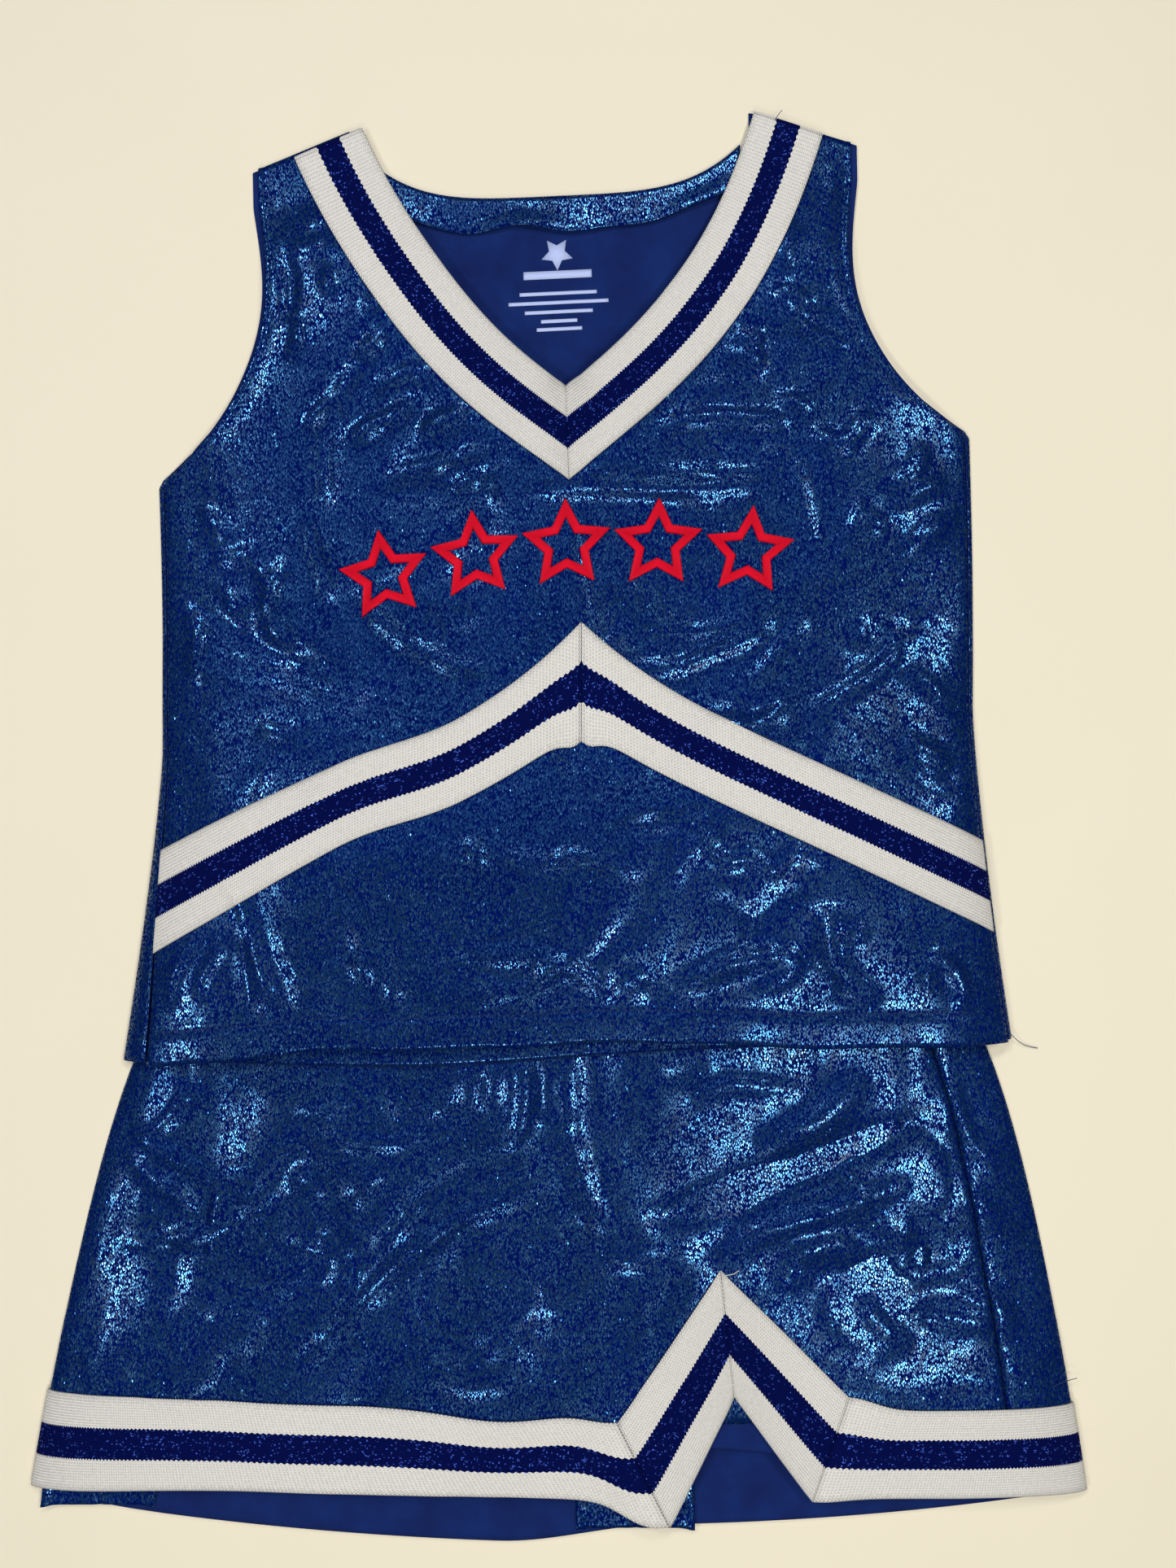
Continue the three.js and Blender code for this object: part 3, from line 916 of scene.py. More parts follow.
# The folds across the front of the shell.
SHELL_FOLDS = (
    # the left shoulder and armhole
    Fold(((-127, 375), (-125, 367), (-123, 360), (-120, 356)), 1.2, 3.0, 0.7),
    Fold(((-115, 369), (-111, 364), (-109, 360)), 1.6, 5.0, 0.7),
    Fold(((-108, 356), (-111, 351), (-117, 350), (-122, 353)), 1.3, 3.2, 0.7),
    Fold(((-128, 351), (-123, 344), (-120, 338), (-120, 329), (-122, 318)), -1.7, 3.2, 0.8),
    Fold(((-106, 341), (-104, 335), (-103, 330)), 1.3, 3.6, 0.7),
    Fold(((-118, 318), (-117, 311), (-120, 300)), 1.3, 3.2, 0.6),
    Fold(((-90, 324), (-84, 326), (-80, 325)), 1.0, 3.2, 0.7),
    Fold(((-92, 303), (-86, 307), (-82, 313)), 1.5, 4.0, 0.7),
    Fold(((-85, 291), (-76, 294), (-69, 298), (-63, 297), (-60, 293), (-59, 289)), 1.4, 3.6, 0.6),
    # the left of the chest
    Fold(((-97, 264), (-90, 271), (-82, 275), (-74, 278), (-65, 285)), 2.0, 5.5, 0.6),
    Fold(((-64, 270), (-57, 275), (-50, 277), (-44, 279)), 1.8, 5.5, 0.6),
    Fold(((-80, 249), (-70, 254), (-56, 257), (-41, 261), (-30, 263)), 1.5, 3.4, 0.6),
    Fold(((-50, 245), (-41, 250), (-32, 255)), 1.2, 3.0, 0.7),
    Fold(((-84, 241), (-66, 245), (-50, 242), (-30, 244)), -1.8, 4.2, 0.8),
    Fold(((-106, 275), (-107, 264), (-106, 250), (-106, 238)), -1.8, 3.4, 0.9),
    Fold(((-115, 272), (-109, 279), (-102, 287)), 1.2, 2.6, 0.7),
    Fold(((-114, 232), (-111, 220), (-106, 206), (-105, 195)), -1.6, 3.0, 0.9),
    Fold(((-160, 237), (-153, 229), (-147, 223)), 1.4, 3.4, 0.7),
    Fold(((-155, 216), (-146, 215), (-139, 217), (-134, 221)), 1.3, 3.4, 0.7),
    Fold(((-136, 214), (-130, 203), (-118, 184)), 1.5, 3.6, 0.6),
    Fold(((-150, 198), (-145, 195), (-140, 193)), 1.3, 3.6, 0.7),
    Fold(((-168, 197), (-161, 182), (-163, 170), (-157, 161)), 1.6, 4.6, 0.7),
    Fold(((-169, 202), (-148, 185), (-132, 175), (-114, 167), (-100, 161), (-89, 152)), -2.2, 7.5, 0.8),
    Fold(((-92, 202), (-82, 189), (-69, 178), (-51, 169), (-33, 166)), 1.7, 3.8, 0.6),
    Fold(((-134, 143), (-125, 139), (-118, 136)), 1.2, 3.6, 0.7),
    # the right shoulder and armhole
    Fold(((116, 389), (117, 380), (116, 374), (114, 365)), 1.0, 3.0, 0.7),
    Fold(((101, 361), (97, 355), (94, 348), (99, 344)), 2.0, 5.5, 0.7),
    Fold(((92, 334), (97, 321), (106, 314), (115, 311), (124, 306)), 1.3, 3.6, 0.6),
    Fold(((91, 334), (101, 329), (107, 324)), 1.1, 3.4, 0.7),
    Fold(((66, 305), (77, 304), (88, 301)), 1.4, 3.8, 0.6),
    Fold(((71, 312), (79, 311), (87, 312)), 1.2, 3.4, 0.7),
    # the right of the chest
    Fold(((38, 270), (48, 275), (63, 278), (78, 277), (90, 276), (97, 274)), 1.7, 4.6, 0.6),
    Fold(((92, 285), (101, 284), (104, 279)), 1.3, 3.8, 0.7),
    Fold(((106, 270), (113, 267), (121, 265), (125, 270), (128, 275), (134, 277)), 2.0, 4.6, 0.7),
    Fold(((29, 252), (46, 252), (63, 253), (90, 252)), 1.2, 3.0, 0.7),
    Fold(((-20, 244), (10, 247), (41, 246), (57, 247), (74, 247), (86, 248)), -1.9, 4.0, 0.8),
    Fold(((101, 259), (101, 251), (103, 241), (105, 231), (108, 221), (113, 216)), 1.3, 2.8, 0.6),
    Fold(((128, 241), (127, 233), (124, 223)), 1.3, 3.2, 0.6),
    Fold(((130, 236), (134, 230), (140, 228)), 1.3, 3.6, 0.7),
    Fold(((155, 264), (155, 257), (151, 250), (144, 247), (136, 245)), 1.3, 3.8, 0.7),
    Fold(((139, 236), (149, 242), (159, 247), (166, 247)), 1.5, 3.8, 0.6),
    Fold(((146, 219), (155, 224), (163, 230), (169, 233), (167, 239)), 1.9, 4.6, 0.6),
    Fold(((27, 169), (39, 168), (49, 168), (58, 172), (70, 177), (81, 182), (89, 188)), 1.9, 4.2, 0.5),
    Fold(((33, 188), (43, 186), (55, 183), (68, 186), (87, 190)), 1.2, 3.2, 0.7),
    Fold(((78, 161), (85, 166), (92, 175), (99, 182), (102, 188)), 1.4, 3.2, 0.6),
    Fold(((61, 144), (70, 143), (79, 142), (87, 145), (94, 151)), 1.9, 5.0, 0.6),
    Fold(((104, 147), (113, 152), (125, 159), (135, 166), (142, 172), (143, 181), (142, 190)),
         1.9, 4.8, 0.6),
    Fold(((127, 188), (129, 181), (128, 175)), 1.0, 3.0, 0.7),
    Fold(((144, 166), (152, 165), (158, 160), (166, 152), (167, 147)), 1.2, 3.2, 0.6),
    Fold(((146, 136), (154, 132), (162, 128), (167, 124)), 2.1, 6.5, 0.6),
    Fold(((148, 126), (157, 120), (167, 113)), 1.2, 3.2, 0.6),
    # under the chevron
    Fold(((-40, 94), (-39, 87), (-35, 81)), 1.7, 3.4, 0.6),
    Fold(((-27, 83), (-22, 87), (-14, 83), (-6, 83), (0, 87), (12, 85), (20, 81), (33, 78)),
         1.6, 3.4, 0.45),
    Fold(((44, 75), (49, 83), (56, 92), (63, 89), (70, 83), (78, 86), (89, 79), (97, 88), (111, 84)),
         1.6, 3.4, 0.45),
    Fold(((113, 64), (113, 52), (115, 40), (123, 30), (135, 23)), -2.5, 6.0, 0.8),
    Fold(((118, 53), (126, 53), (128, 48)), 1.3, 3.6, 0.7),
    Fold(((107, 40), (113, 35), (117, 28)), 1.2, 3.0, 0.7),
    Fold(((48, 28), (58, 33), (70, 38), (82, 42), (94, 43), (102, 42)), 2.4, 5.6, 0.6),
    Fold(((81, 26), (92, 32), (102, 40)), 1.5, 4.0, 0.6),
    Fold(((27, 28), (30, 31), (33, 34)), 1.4, 4.0, 0.7),
    Fold(((156, 27), (154, 36), (161, 41), (169, 37), (173, 28), (169, 18)), 1.8, 3.8, 0.6),
    Fold(((-13, 29), (-10, 37), (-1, 39), (5, 35), (13, 28), (21, 23)), 2.2, 4.6, 0.6),
    Fold(((-39, 32), (-32, 28), (-26, 24)), 1.1, 3.2, 0.7),
    Fold(((-89, 43), (-88, 36), (-85, 27)), 1.6, 3.4, 0.6),
    Fold(((-83, 43), (-78, 32), (-73, 26), (-77, 19)), 1.4, 3.4, 0.6),
    Fold(((-136, 57), (-134, 43), (-130, 30), (-126, 19)), 1.5, 3.2, 0.6),
    Fold(((-141, 48), (-139, 30), (-137, 15)), -1.8, 3.2, 0.8),
    Fold(((-123, 57), (-121, 44), (-116, 34), (-113, 18)), 1.1, 3.2, 0.7),
    Fold(((-158, 48), (-166, 41), (-171, 31), (-170, 20)), 1.4, 3.4, 0.6),
    Fold(((-151, 52), (-150, 44), (-157, 32), (-158, 23)), 1.4, 3.4, 0.6),
)


@dataclass
class Shell:
    """The sleeveless V-neck top, lying on the skirt's waist."""

    # the outline
    chest_half: float = 178.0
    hem_half: float = 195.0
    flare_start: float = 140.0
    flare_power: float = 1.3
    armpit_y: float = 259.0
    armhole_power: float = 3.5
    armhole_hollow: float = 0.1
    shoulder_tip_half: float = 133.0
    shoulder_slope: float = 0.36
    neck_point_half: float = 86.5
    neck_point_y: float = 406.5
    front_cut: tuple[float, float] = (384.0, 410.0)
    back_cut: tuple[float, float] = (400.0, 410.0)
    # the seams, as shares round the tube
    seam_inset: float = 0.1
    seam_twist: float = 0.126
    armhole_inset: float = 0.13
    front_gap: float = 0.003
    back_gap: float = 0.004
    # how it lies
    air: float = 6.0
    over_skirt: float = 8.2
    lean: float = 6.0
    hem_skew: float = 0.024
    chest_skew: float = 0.042
    skew_span: float = 430.0
    raised_shoulder: float = 0.018
    hem_sway: float = 5.0
    back_drop: float = 5.2
    # the neck
    apex_y: float = 269.5
    v_handles: tuple[tuple[float, float], ...] = ((23.0, 18.0), (70.0, 48.0))
    neck_shift: float = 4.4
    back_neck_y: float = 373.0
    back_neck_rise: float = 15.0
    facing_depth: float = 14.0
    facing_cut: float = 18.0
    # the braid
    braid: float = 32.0
    neck_braid_cut: float = 185.0
    chevron_cut: float = 215.0
    chevron_x: float = 6.0
    chevron_y: float = 186.5
    chevron_drop: float = 100.0
    chevron_reach: float = 186.0
    braid_lift: float = 0.95
    braid_crown: float = 0.35
    # the hems
    hem_depth: float = 14.5
    back_hem_cut: float = 340.0
    armhole_hem: float = 6.5
    seam_depth: float = 0.7
    hem_ply: float = 0.6
    front: Drape = field(default_factory=lambda: Drape(
        folds=(*SHELL_FOLDS, *scattered(14, 26, 172, 8, 380)),
        broad=Ripple(11, 55, 150),
        fine=Ripple(12, 14, 44, 34),
        warp=Ripple(13, 40, 110),
    ))
    back: Drape = field(default_factory=lambda: Drape(
        folds=(),
        broad=Ripple(21, 70, 180),
        fine=Ripple(22, 26, 60),
        warp=Ripple(23, 50, 120),
        broad_height=0.35,
        fine_height=0.12,
    ))

    def __post_init__(self) -> None:
        """Works out the shoulder tip."""
        run = self.shoulder_tip_half - self.neck_point_half
        self.shoulder_tip_y = self.neck_point_y - self.shoulder_slope * run

    def half(self, y: Array) -> Array:
        """Half the shell's width at a height.

        Args:
            y: Heights above the shell's hem.

        Returns:
            Half the width at each.
        """
        flare = np.maximum(0.0, 1 - y / self.flare_start) ** self.flare_power
        low = lerp(self.chest_half, self.hem_half, flare)
        down = np.clip((self.shoulder_tip_y - y) / (self.shoulder_tip_y - self.armpit_y), 0, 1)
        out = down**self.armhole_power - self.armhole_hollow * np.sin(math.pi * down)
        high = lerp(self.shoulder_tip_half, self.chest_half, out)
        return np.where(y <= self.armpit_y, low, high)

    def above_armpit(self, y: Array) -> Array:
        """0 below the armpits and 1 above them."""
        return smooth(y, self.armpit_y - 2, self.armpit_y + 22)

    def back_z(self, across: Array, y: Array) -> Array:
        """Middle of the back's cloth, which climbs over the skirt."""
        climb = 1 - smooth(y, WAIST_TOP + 2, WAIST_TOP + 102)
        return FABRIC / 2 + climb * self.over_skirt * roll(across)

    def front_z(self, across: Array, y: Array, opened: Array | float) -> Array:
        """Middle of the front's cloth, without its folds.

        Args:
            across: Shares of the half width.
            y: Heights above the shell's hem.
            opened: 0 below the armpits and 1 above them.

        Returns:
            The heights above the table.
        """
        side = roll(across * (1 - 0.12 * opened))
        shoulder = lerp(1.0, 0.24, smooth(y, self.shoulder_tip_y - 45, self.shoulder_tip_y + 4))
        return self.back_z(across, y) + self.air * side * shoulder

    def laid(self, x: Array, y: Array) -> tuple[Array, Array]:
        """Turns a place a little askew, as the shell lies.

        Args:
            x: Distances from the centre line.
            y: Heights above the shell's hem.

        Returns:
            The place as it lies.
        """
        chest = self.chest_skew * np.sin(math.pi * np.clip(y / self.skew_span, 0, 1)) ** 2
        top = self.raised_shoulder * (x + self.neck_point_half) * smooth(y, 300, 400)
        return x - self.lean * smooth(y, 180, 420), y + x * (self.hem_skew + chest) + top

    def point(self, s: Array, y: Array, opened: Array | float) -> Place:
        """Place of the smooth shell, without folds.

        Args:
            s: Places round the tube.
            y: Heights above the shell's hem.
            opened: 0 below the armpits and 1 above them.

        Returns:
            The places.
        """
        front, across = from_tube(s)
        lx, ly = self.laid(*self.sloped(self.half(y) * across, y))
        return lx, ly, np.where(front, self.front_z(across, y, opened), self.back_z(across, y))

    def sloped(self, x: Array, y: Array) -> tuple[Array, Array]:
        """Lowers a place along the slope of its shoulder."""
        past = np.maximum(0.0, np.abs(x) - self.neck_point_half)
        return x, y - self.shoulder_slope * past * smooth(y, self.armpit_y + 40, self.neck_point_y)

    def inset(self, side: int, y: Array) -> Array:
        """How far a side seam sits in front of its fold."""
        twist = self.seam_twist * np.maximum(0.0, 1 - y / 160) if side < 0 else 0.0
        return self.seam_inset + twist

    def front_edge(self, side: int, y: Array) -> Array:
        """Edge of the front panel: its side seam, and above the armpit its armhole."""
        inset = lerp(self.inset(side, y), self.armhole_inset, self.above_armpit(y))
        return side * (1 - inset - self.front_gap)

    def back_edge(self, side: int, y: Array) -> Array:
        """Edge of the back panel."""
        inset = lerp(self.inset(side, y), -0.02, self.above_armpit(y))
        return side * (1 - inset + self.back_gap)

    def calm(self, across: Array, y: Array) -> Array:
        """Share of the folds that is left near the folded sides and the shoulders.

        Args:
            across: Shares of the half width.
            y: Heights above the shell's hem.

        Returns:
            The shares.
        """
        sides = 1 - smooth(np.abs(across), 0.9, 0.985)
        shoulders = lerp(1.0, 0.25, smooth(y, self.shoulder_tip_y - 60, self.shoulder_tip_y))
        hem = lerp(0.55, 1.0, smooth(y, 0, 26))
        return sides * shoulders * hem

    def front_rise(self, lx: Array, ly: Array, across: Array, y: Array) -> Array:
        """Height of the front's folds."""
        return shallow(self.front.rise(lx, ly), DEEPEST) * self.calm(across, y)

    def on_front(self, x: Array, y: Array, lift: float) -> Place:
        """Place over the front, at a height over the middle of its cloth.

        Args:
            x: Distances from the centre line.
            y: Heights above the shell's hem.
            lift: Height over the cloth's middle.

        Returns:
            The places.
        """
        across = x / self.half(y)
        lx, ly = self.laid(x, y)
        z = self.front_z(across, y, self.above_armpit(y)) + self.front_rise(lx, ly, across, y)
        return lx, ly, z + lift

    def hem_wave(self, x: Array, y: Array) -> Array:
        """How far the front's hem strays from a straight line, mm.

        Args:
            x: Distances from the centre line.
            y: Heights above the shell's hem.

        Returns:
            How much higher it is at each place.
        """
        raised = self.hem_sway * smooth(x, -176, -92) * (1 - smooth(x, 40, 150)) - 1.5
        wave = raised + 0.6 * np.sin(x / 23 + 0.8) + 0.4 * np.sin(x / 9.5)
        return wave * (1 - smooth(y, 0, 60))

    def front_panel(self) -> None:
        """The front, with its turned hem and armholes."""

        def surface(u: Array, v: Array) -> Place:
            """Middle of its cloth at shares of the cut."""
            y = self.neck_point_y * v
            s = lerp(self.front_edge(-1, y), self.front_edge(1, y), u)
            x, ly, z = self.point(s, y, self.above_armpit(y))
            _, across = from_tube(s)
            z = z + self.front_rise(x, ly, across, y)
            from_edge = np.minimum(u, 1 - u) * 2 * self.half(y)
            armhole = self.above_armpit(y)
            z = z + 0.5 * (1 - smooth(from_edge, self.armhole_hem, self.armhole_hem + 1.6)) * armhole
            z = z - 0.55 * bump(from_edge, self.armhole_hem, 1.3) * armhole
            z = z - self.seam_depth * bump(from_edge, 0, 2.2) * (1 - armhole)
            z = z + self.hem_ply * (1 - smooth(y, self.hem_depth - 0.6, self.hem_depth + 1.2))
            z = z - self.hem_ply * bump(y, self.hem_depth, 1.4)
            return x, ly + self.hem_wave(x, y), z

        Cloth("shell_front_panel", surface, self.front_cut, hole=self.in_front_neck, step=2.5).dress(
            "shell")

    def back_panel(self) -> None:
        """The back, which wraps a little to the front at each side seam."""

        def surface(u: Array, v: Array) -> Place:
            """Middle of its cloth at shares of the cut."""
            y = self.neck_point_y * v
            s = lerp(self.back_edge(1, y), self.back_edge(-1, y) + 4, u)
            x, ly, z = self.point(s, y, 0.0)
            front, _ = from_tube(s)
            z = z + np.maximum(0.0, self.back.rise(x, ly) + 0.3) * np.where(front, 0, 1)
            return x, ly - np.where(front, 0, self.back_hem_drop(x)) * (1 - smooth(y, 0, 40)), z

        Cloth("shell_back_panel", surface, self.back_cut, hole=self.in_back_neck, step=3.2).dress(
            "shell")

    def back_hem_drop(self, x: Array) -> Array:
        """How far the back hem hangs below the front's."""
        return self.back_drop * bump(x, -62, 80)

    def back_hem(self) -> None:
        """The back's turned hem, whose foil face shows inside it."""

        def surface(u: Array, v: Array) -> Place:
            """Middle of its cloth at shares of the cut."""
            across = lerp(-0.88, 0.9, u)
            y = self.hem_depth * v
            x, ly = self.laid(self.half(y) * across, y + 0.4)
            z = self.back_z(across, y) + np.maximum(0.0, self.back.rise(x, ly) + 0.3)
            lift = 0.8 + 0.25 * np.sin(x / 7) * v - 0.3 * bump(v, 0.0, 0.15)
            return x, ly - self.back_hem_drop(x), z + lift

        cut = (self.back_hem_cut, self.hem_depth)
        Cloth("shell_back_hem", surface, cut, step=1.8, thickness=0.5).dress(
            "shell", node=False)

    def neck_line(self, side: int, u: Array) -> tuple[Array, Array, Array, Array]:
        """Middle line of a neck braid, from the point of the V to the shoulder.

        Args:
            side: -1 for the left and 1 for the right.
            u: Shares of the way up.

        Returns:
            The line's two coordinates and its direction's two.
        """
        xs = [0.0, *(reach for reach, _ in self.v_handles), self.neck_point_half + self.braid * 0.45]
        ys = [self.apex_y, *(self.apex_y + climb for _, climb in self.v_handles), self.neck_point_y - 6]
        held = np.clip(u, 0, 1)
        weights = ((1 - held) ** 3, 3 * held * (1 - held) ** 2, 3 * held**2 * (1 - held), held**3)
        slopes = (3 * (1 - held) ** 2, 6 * held * (1 - held), 3 * held**2)
        px = sum(weight * value for weight, value in zip(weights, xs))
        py = sum(weight * value for weight, value in zip(weights, ys))
        dx = sum(slope * (b - a) for slope, a, b in zip(slopes, xs, xs[1:]))
        dy = sum(slope * (b - a) for slope, a, b in zip(slopes, ys, ys[1:]))
        size = np.hypot(dx, dy)
        return side * px + self.neck_shift * bump(py, 335, 70), py, side * dx / size, dy / size

    def neck_place(self, side: int, u: Array, out: Array | float) -> tuple[Array, Array]:
        """Place on a neck braid.

        Args:
            side: -1 for the left and 1 for the right.
            u: Shares of the way up.
            out: Distance from the line.

        Returns:
            The place's two coordinates.
        """
        px, py, tx, ty = self.neck_line(side, u)
        start = self.neck_line(side, np.zeros(1))
        turn = smooth(u, 0, 0.25)
        ox = lerp(0.0, ty * side, turn)
        oy = lerp(-1 / abs(start[2][0]), -tx * side, turn)
        return px + ox * out, py + oy * out

    def neck_edge(self, side: int, out: float) -> tuple[Array, Array]:
        """A line along a neck braid."""
        return self.neck_place(side, np.linspace(0, 1, 60), out)

    def in_front_neck(self, x: Array, y: Array) -> Array:
        """Whether a place is in the V opening, up to a tuck under the braid.

        Args:
            x: Distances from the centre line.
            y: Heights above the shell's hem.

        Returns:
            Whether each is cut away.
        """
        inside = np.zeros(np.shape(x), bool)
        for side in (-1, 1):
            ex, ey = self.laid(*self.neck_edge(side, 6 - self.braid / 2))
            order = np.argsort(ey)
            edge = np.interp(y, ey[order], ex[order])
            own = (x - ex[0]) * side >= 0
            inside |= own & (y > ey[0]) & ((x - edge) * side < 0)
        return inside

    def back_neck(self, x: Array) -> Array:
        """Height of the back neckline."""
        return self.back_neck_y + self.back_neck_rise * np.abs(x / 77) ** 4

    def in_back_neck(self, x: Array, y: Array) -> Array:
        """Whether a place is above the back neckline, which the facing covers.

        Args:
            x: Distances from the centre line.
            y: Heights above the shell's hem.

        Returns:
            Whether each is cut away.
        """
        half = self.neck_point_half - 2
        steps = np.linspace(-half, half, 80)
        ex, ey = self.laid(steps, self.back_neck(steps) - 2.5)
        return (y > np.interp(x, ex, ey)) & (x > ex[0]) & (x < ex[-1])

    def neck_facing(self) -> None:
        """The back neckline's turned band, with a free wavy lower edge."""
        half = self.neck_point_half - 5

        def surface(u: Array, v: Array) -> Place:
            """Middle of its cloth at shares of the cut."""
            x = lerp(-half, half, u)
            depth = self.facing_depth + 1.3 * np.sin(x / 11) + 0.9 * np.sin(x / 6.3 + 1)
            over = np.clip((v - 0.9) / 0.1, 0, 1)
            y = self.back_neck(x) - depth * (1 - np.minimum(v, 0.9) / 0.9) + 0.6 * np.sin(over * math.pi)
            lift = 1.6 + 1.9 * (0.55 + 0.45 * np.sin(x / 12 + 2.4)) * bump(v, 0, 0.45)
            lx, ly = self.laid(x, y)
            z = self.back_z(0 * x, y) + lift + 0.35 * np.sin(x / 14) * (1 - v)
            return lx, ly, lerp(z, FABRIC / 2, over)

        Cloth("back_neck_facing", surface, (2 * half, self.facing_cut), step=1.5, thickness=0.5).dress(
            "shell")

    def neck_braid(self, side: int) -> None:
        """The braid along one side of the V.

        Args:
            side: -1 for the left and 1 for the right.
        """
        def surface(u: Array, v: Array) -> Place:
            """Middle of its cloth at shares of the cut."""
            along = u if side > 0 else 1 - u
            x, y = self.neck_place(side, along, (0.5 - v) * self.braid)
            lift = self.braid_lift + crowned(v, self.braid_crown) - pinched(along * self.neck_braid_cut)
            return self.on_front(x + side * MITRE_GAP, y, lift)

        self.sew_braid("neck_braid", side, surface, self.neck_braid_cut)

    def chevron_top(self, x: Array) -> Array:
        """Upper edge of the chevron.

        Args:
            x: Distances from the centre line.

        Returns:
            The edge's height at each.
        """
        away = np.abs(x - self.chevron_x) / self.chevron_reach
        bow = 0.28 * np.sin(math.pi * np.minimum(1, away)) * np.exp(-2.6 * away)
        sides = 6.5 * smooth(-x, 45, 100) - 7.3 * smooth(x, 12, 175)
        return self.chevron_y - self.chevron_drop * (away + bow) + sides

    def chevron_place(self, x: Array, down: Array) -> Array:
        """Height on the chevron.

        Args:
            x: Distances from the centre line.
            down: Distances under its upper edge.

        Returns:
            The heights.
        """
        aside = self.chevron_x + np.maximum(4, np.abs(x - self.chevron_x))
        slope = (self.chevron_top(aside + 2) - self.chevron_top(aside - 2)) / 4
        stretch = 1 + 0.26 * smooth(-x, 70, 185) + 0.17 * bump(x, self.chevron_x, 9)
        return self.chevron_top(x) - down * stretch * np.hypot(1, slope)

    def chevron_braid(self, side: int) -> None:
        """One arm of the chevron across the chest.

        Args:
            side: -1 for the left and 1 for the right.
        """
        def surface(u: Array, v: Array) -> Place:
            """Middle of its cloth at shares of the cut."""
            along = u if side > 0 else 1 - u
            y = np.full(np.shape(u), self.chevron_y)
            s = u
            for _ in range(5):
                mitre = tube_at(self.chevron_x + side * MITRE_GAP, self.half(y))
                s = lerp(mitre, self.front_edge(side, y), along)
                _, across = from_tube(s)
                y = self.chevron_place(self.half(y) * across, (1 - v) * self.braid)
            x, ly, z = self.point(s, y, 0.0)
            lift = self.braid_lift + crowned(v, self.braid_crown) - pinched(along * self.chevron_cut)
            return x, ly, z + self.front_rise(x, ly, across, y) + lift

        self.sew_braid("chevron_braid", side, surface, self.chevron_cut)

    def sew_braid(self, part: str, side: int, surface: Surface, length: float) -> None:
        """Sews on a length of braid.

        Args:
            part: The braid's name, without its side.
            side: -1 for the left and 1 for the right.
            surface: Where it lies.
            length: Its length.
        """
        cut = (length, self.braid)
        cloth = Cloth(part + SIDES[side], surface, cut, (Finish.SHELL_BRAID,) * 2, 2.0, 1.1)
        cloth.dress("shell")

    def build(self) -> None:
        """Builds the shell's cloth and braid."""
        self.front_panel()
        self.back_panel()
        self.back_hem()
        self.neck_facing()
        for side in (-1, 1):
            self.neck_braid(side)
            self.chevron_braid(side)

    def sew(self) -> None:
        """Sews the hem's and the armholes' topstitching."""
        depth = np.full(200, self.hem_depth)
        x, y, z = self.on_front(np.linspace(-178, 176, 200), depth, 0.05)
        rows = [(x, y + self.hem_wave(x, depth), z)]
        for side in (-1, 1):
            y = np.linspace(self.armpit_y + 14, self.shoulder_tip_y - 4, 80)
            edge = self.front_edge(side, y)
            _, share = from_tube(edge)
            x = self.half(y) * share - side * self.armhole_hem
            lx, ly = self.laid(*self.sloped(x, y))
            z = self.front_z(x / self.half(y), y, self.above_armpit(y))
            z = z + self.front_rise(lx, ly, x / self.half(y), y)
            rows.append((lx, ly, z + 0.1))
        made = stitches("shell_topstitching", rows, Finish.THREAD)
        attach(made, "shell")
        log.info("%s: %d faces", made.name, len(made.data.polygons))


@dataclass
class ChestMotif:
    """A row of five outline stars in red satin stitch, in a slight arch."""

    shell: Shell
    count: int = 5
    radius: float = 20.4
    inner: float = 0.5
    stroke: float = 4.2
    pitch: float = 39.8
    y: float = 220.6
    arch: float = 8.0
    height: float = 1.15

    def outline(self, radius: Array, turn: Array) -> tuple[Array, Array]:
        """Places on a star's outline.

        Args:
            radius: Reach of the star's points.
            turn: Shares of the way round.

        Returns:
            The places' two coordinates.
        """
        corner = np.floor(turn * 10)
        share = turn * 10 - corner
        ends = []
        for step in (0, 1):
            which = corner + step
            reach = np.where(np.mod(which, 2) > 0.5, self.inner, 1.0) * radius
            angle = math.pi / 2 + which * math.pi / 5
            ends.append((reach * np.cos(angle), reach * np.sin(angle)))
        return tuple(lerp(a, b, share) for a, b in zip(*ends))

    def star(self, index: int) -> None:
        """One star.

        Args:
            index: Its place in the row, from 0.
        """
        place = index - (self.count - 1) / 2
        turned = -0.06 * place

        def surface(u: Array, v: Array) -> Place:
            """Middle of its cloth at shares of the cut."""
            radius = self.radius - 2 * self.stroke * (1 - v)
            sx, sy = self.outline(radius, np.clip(1 - u, 0, 1))
            x = place * self.pitch + sx * math.cos(turned) - sy * math.sin(turned)
            y = self.y - self.arch * (place / 2) ** 2 + sx * math.sin(turned) + sy * math.cos(turned)
            return self.shell.on_front(x, y, 0.2 + crowned(v, self.height, 4))

        name = f"chest_star_{index + 1}"
        made = Cloth(name, surface, (200, 9), (Finish.SATIN,) * 2, 1.0, 0.4, closed=True).build()
        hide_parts(name)
        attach(made, "shell")
        log.info("%s: %d faces", made.name, len(made.data.polygons))

    def build(self) -> None:
        """Builds the row of stars."""
        for index in range(self.count):
            self.star(index)


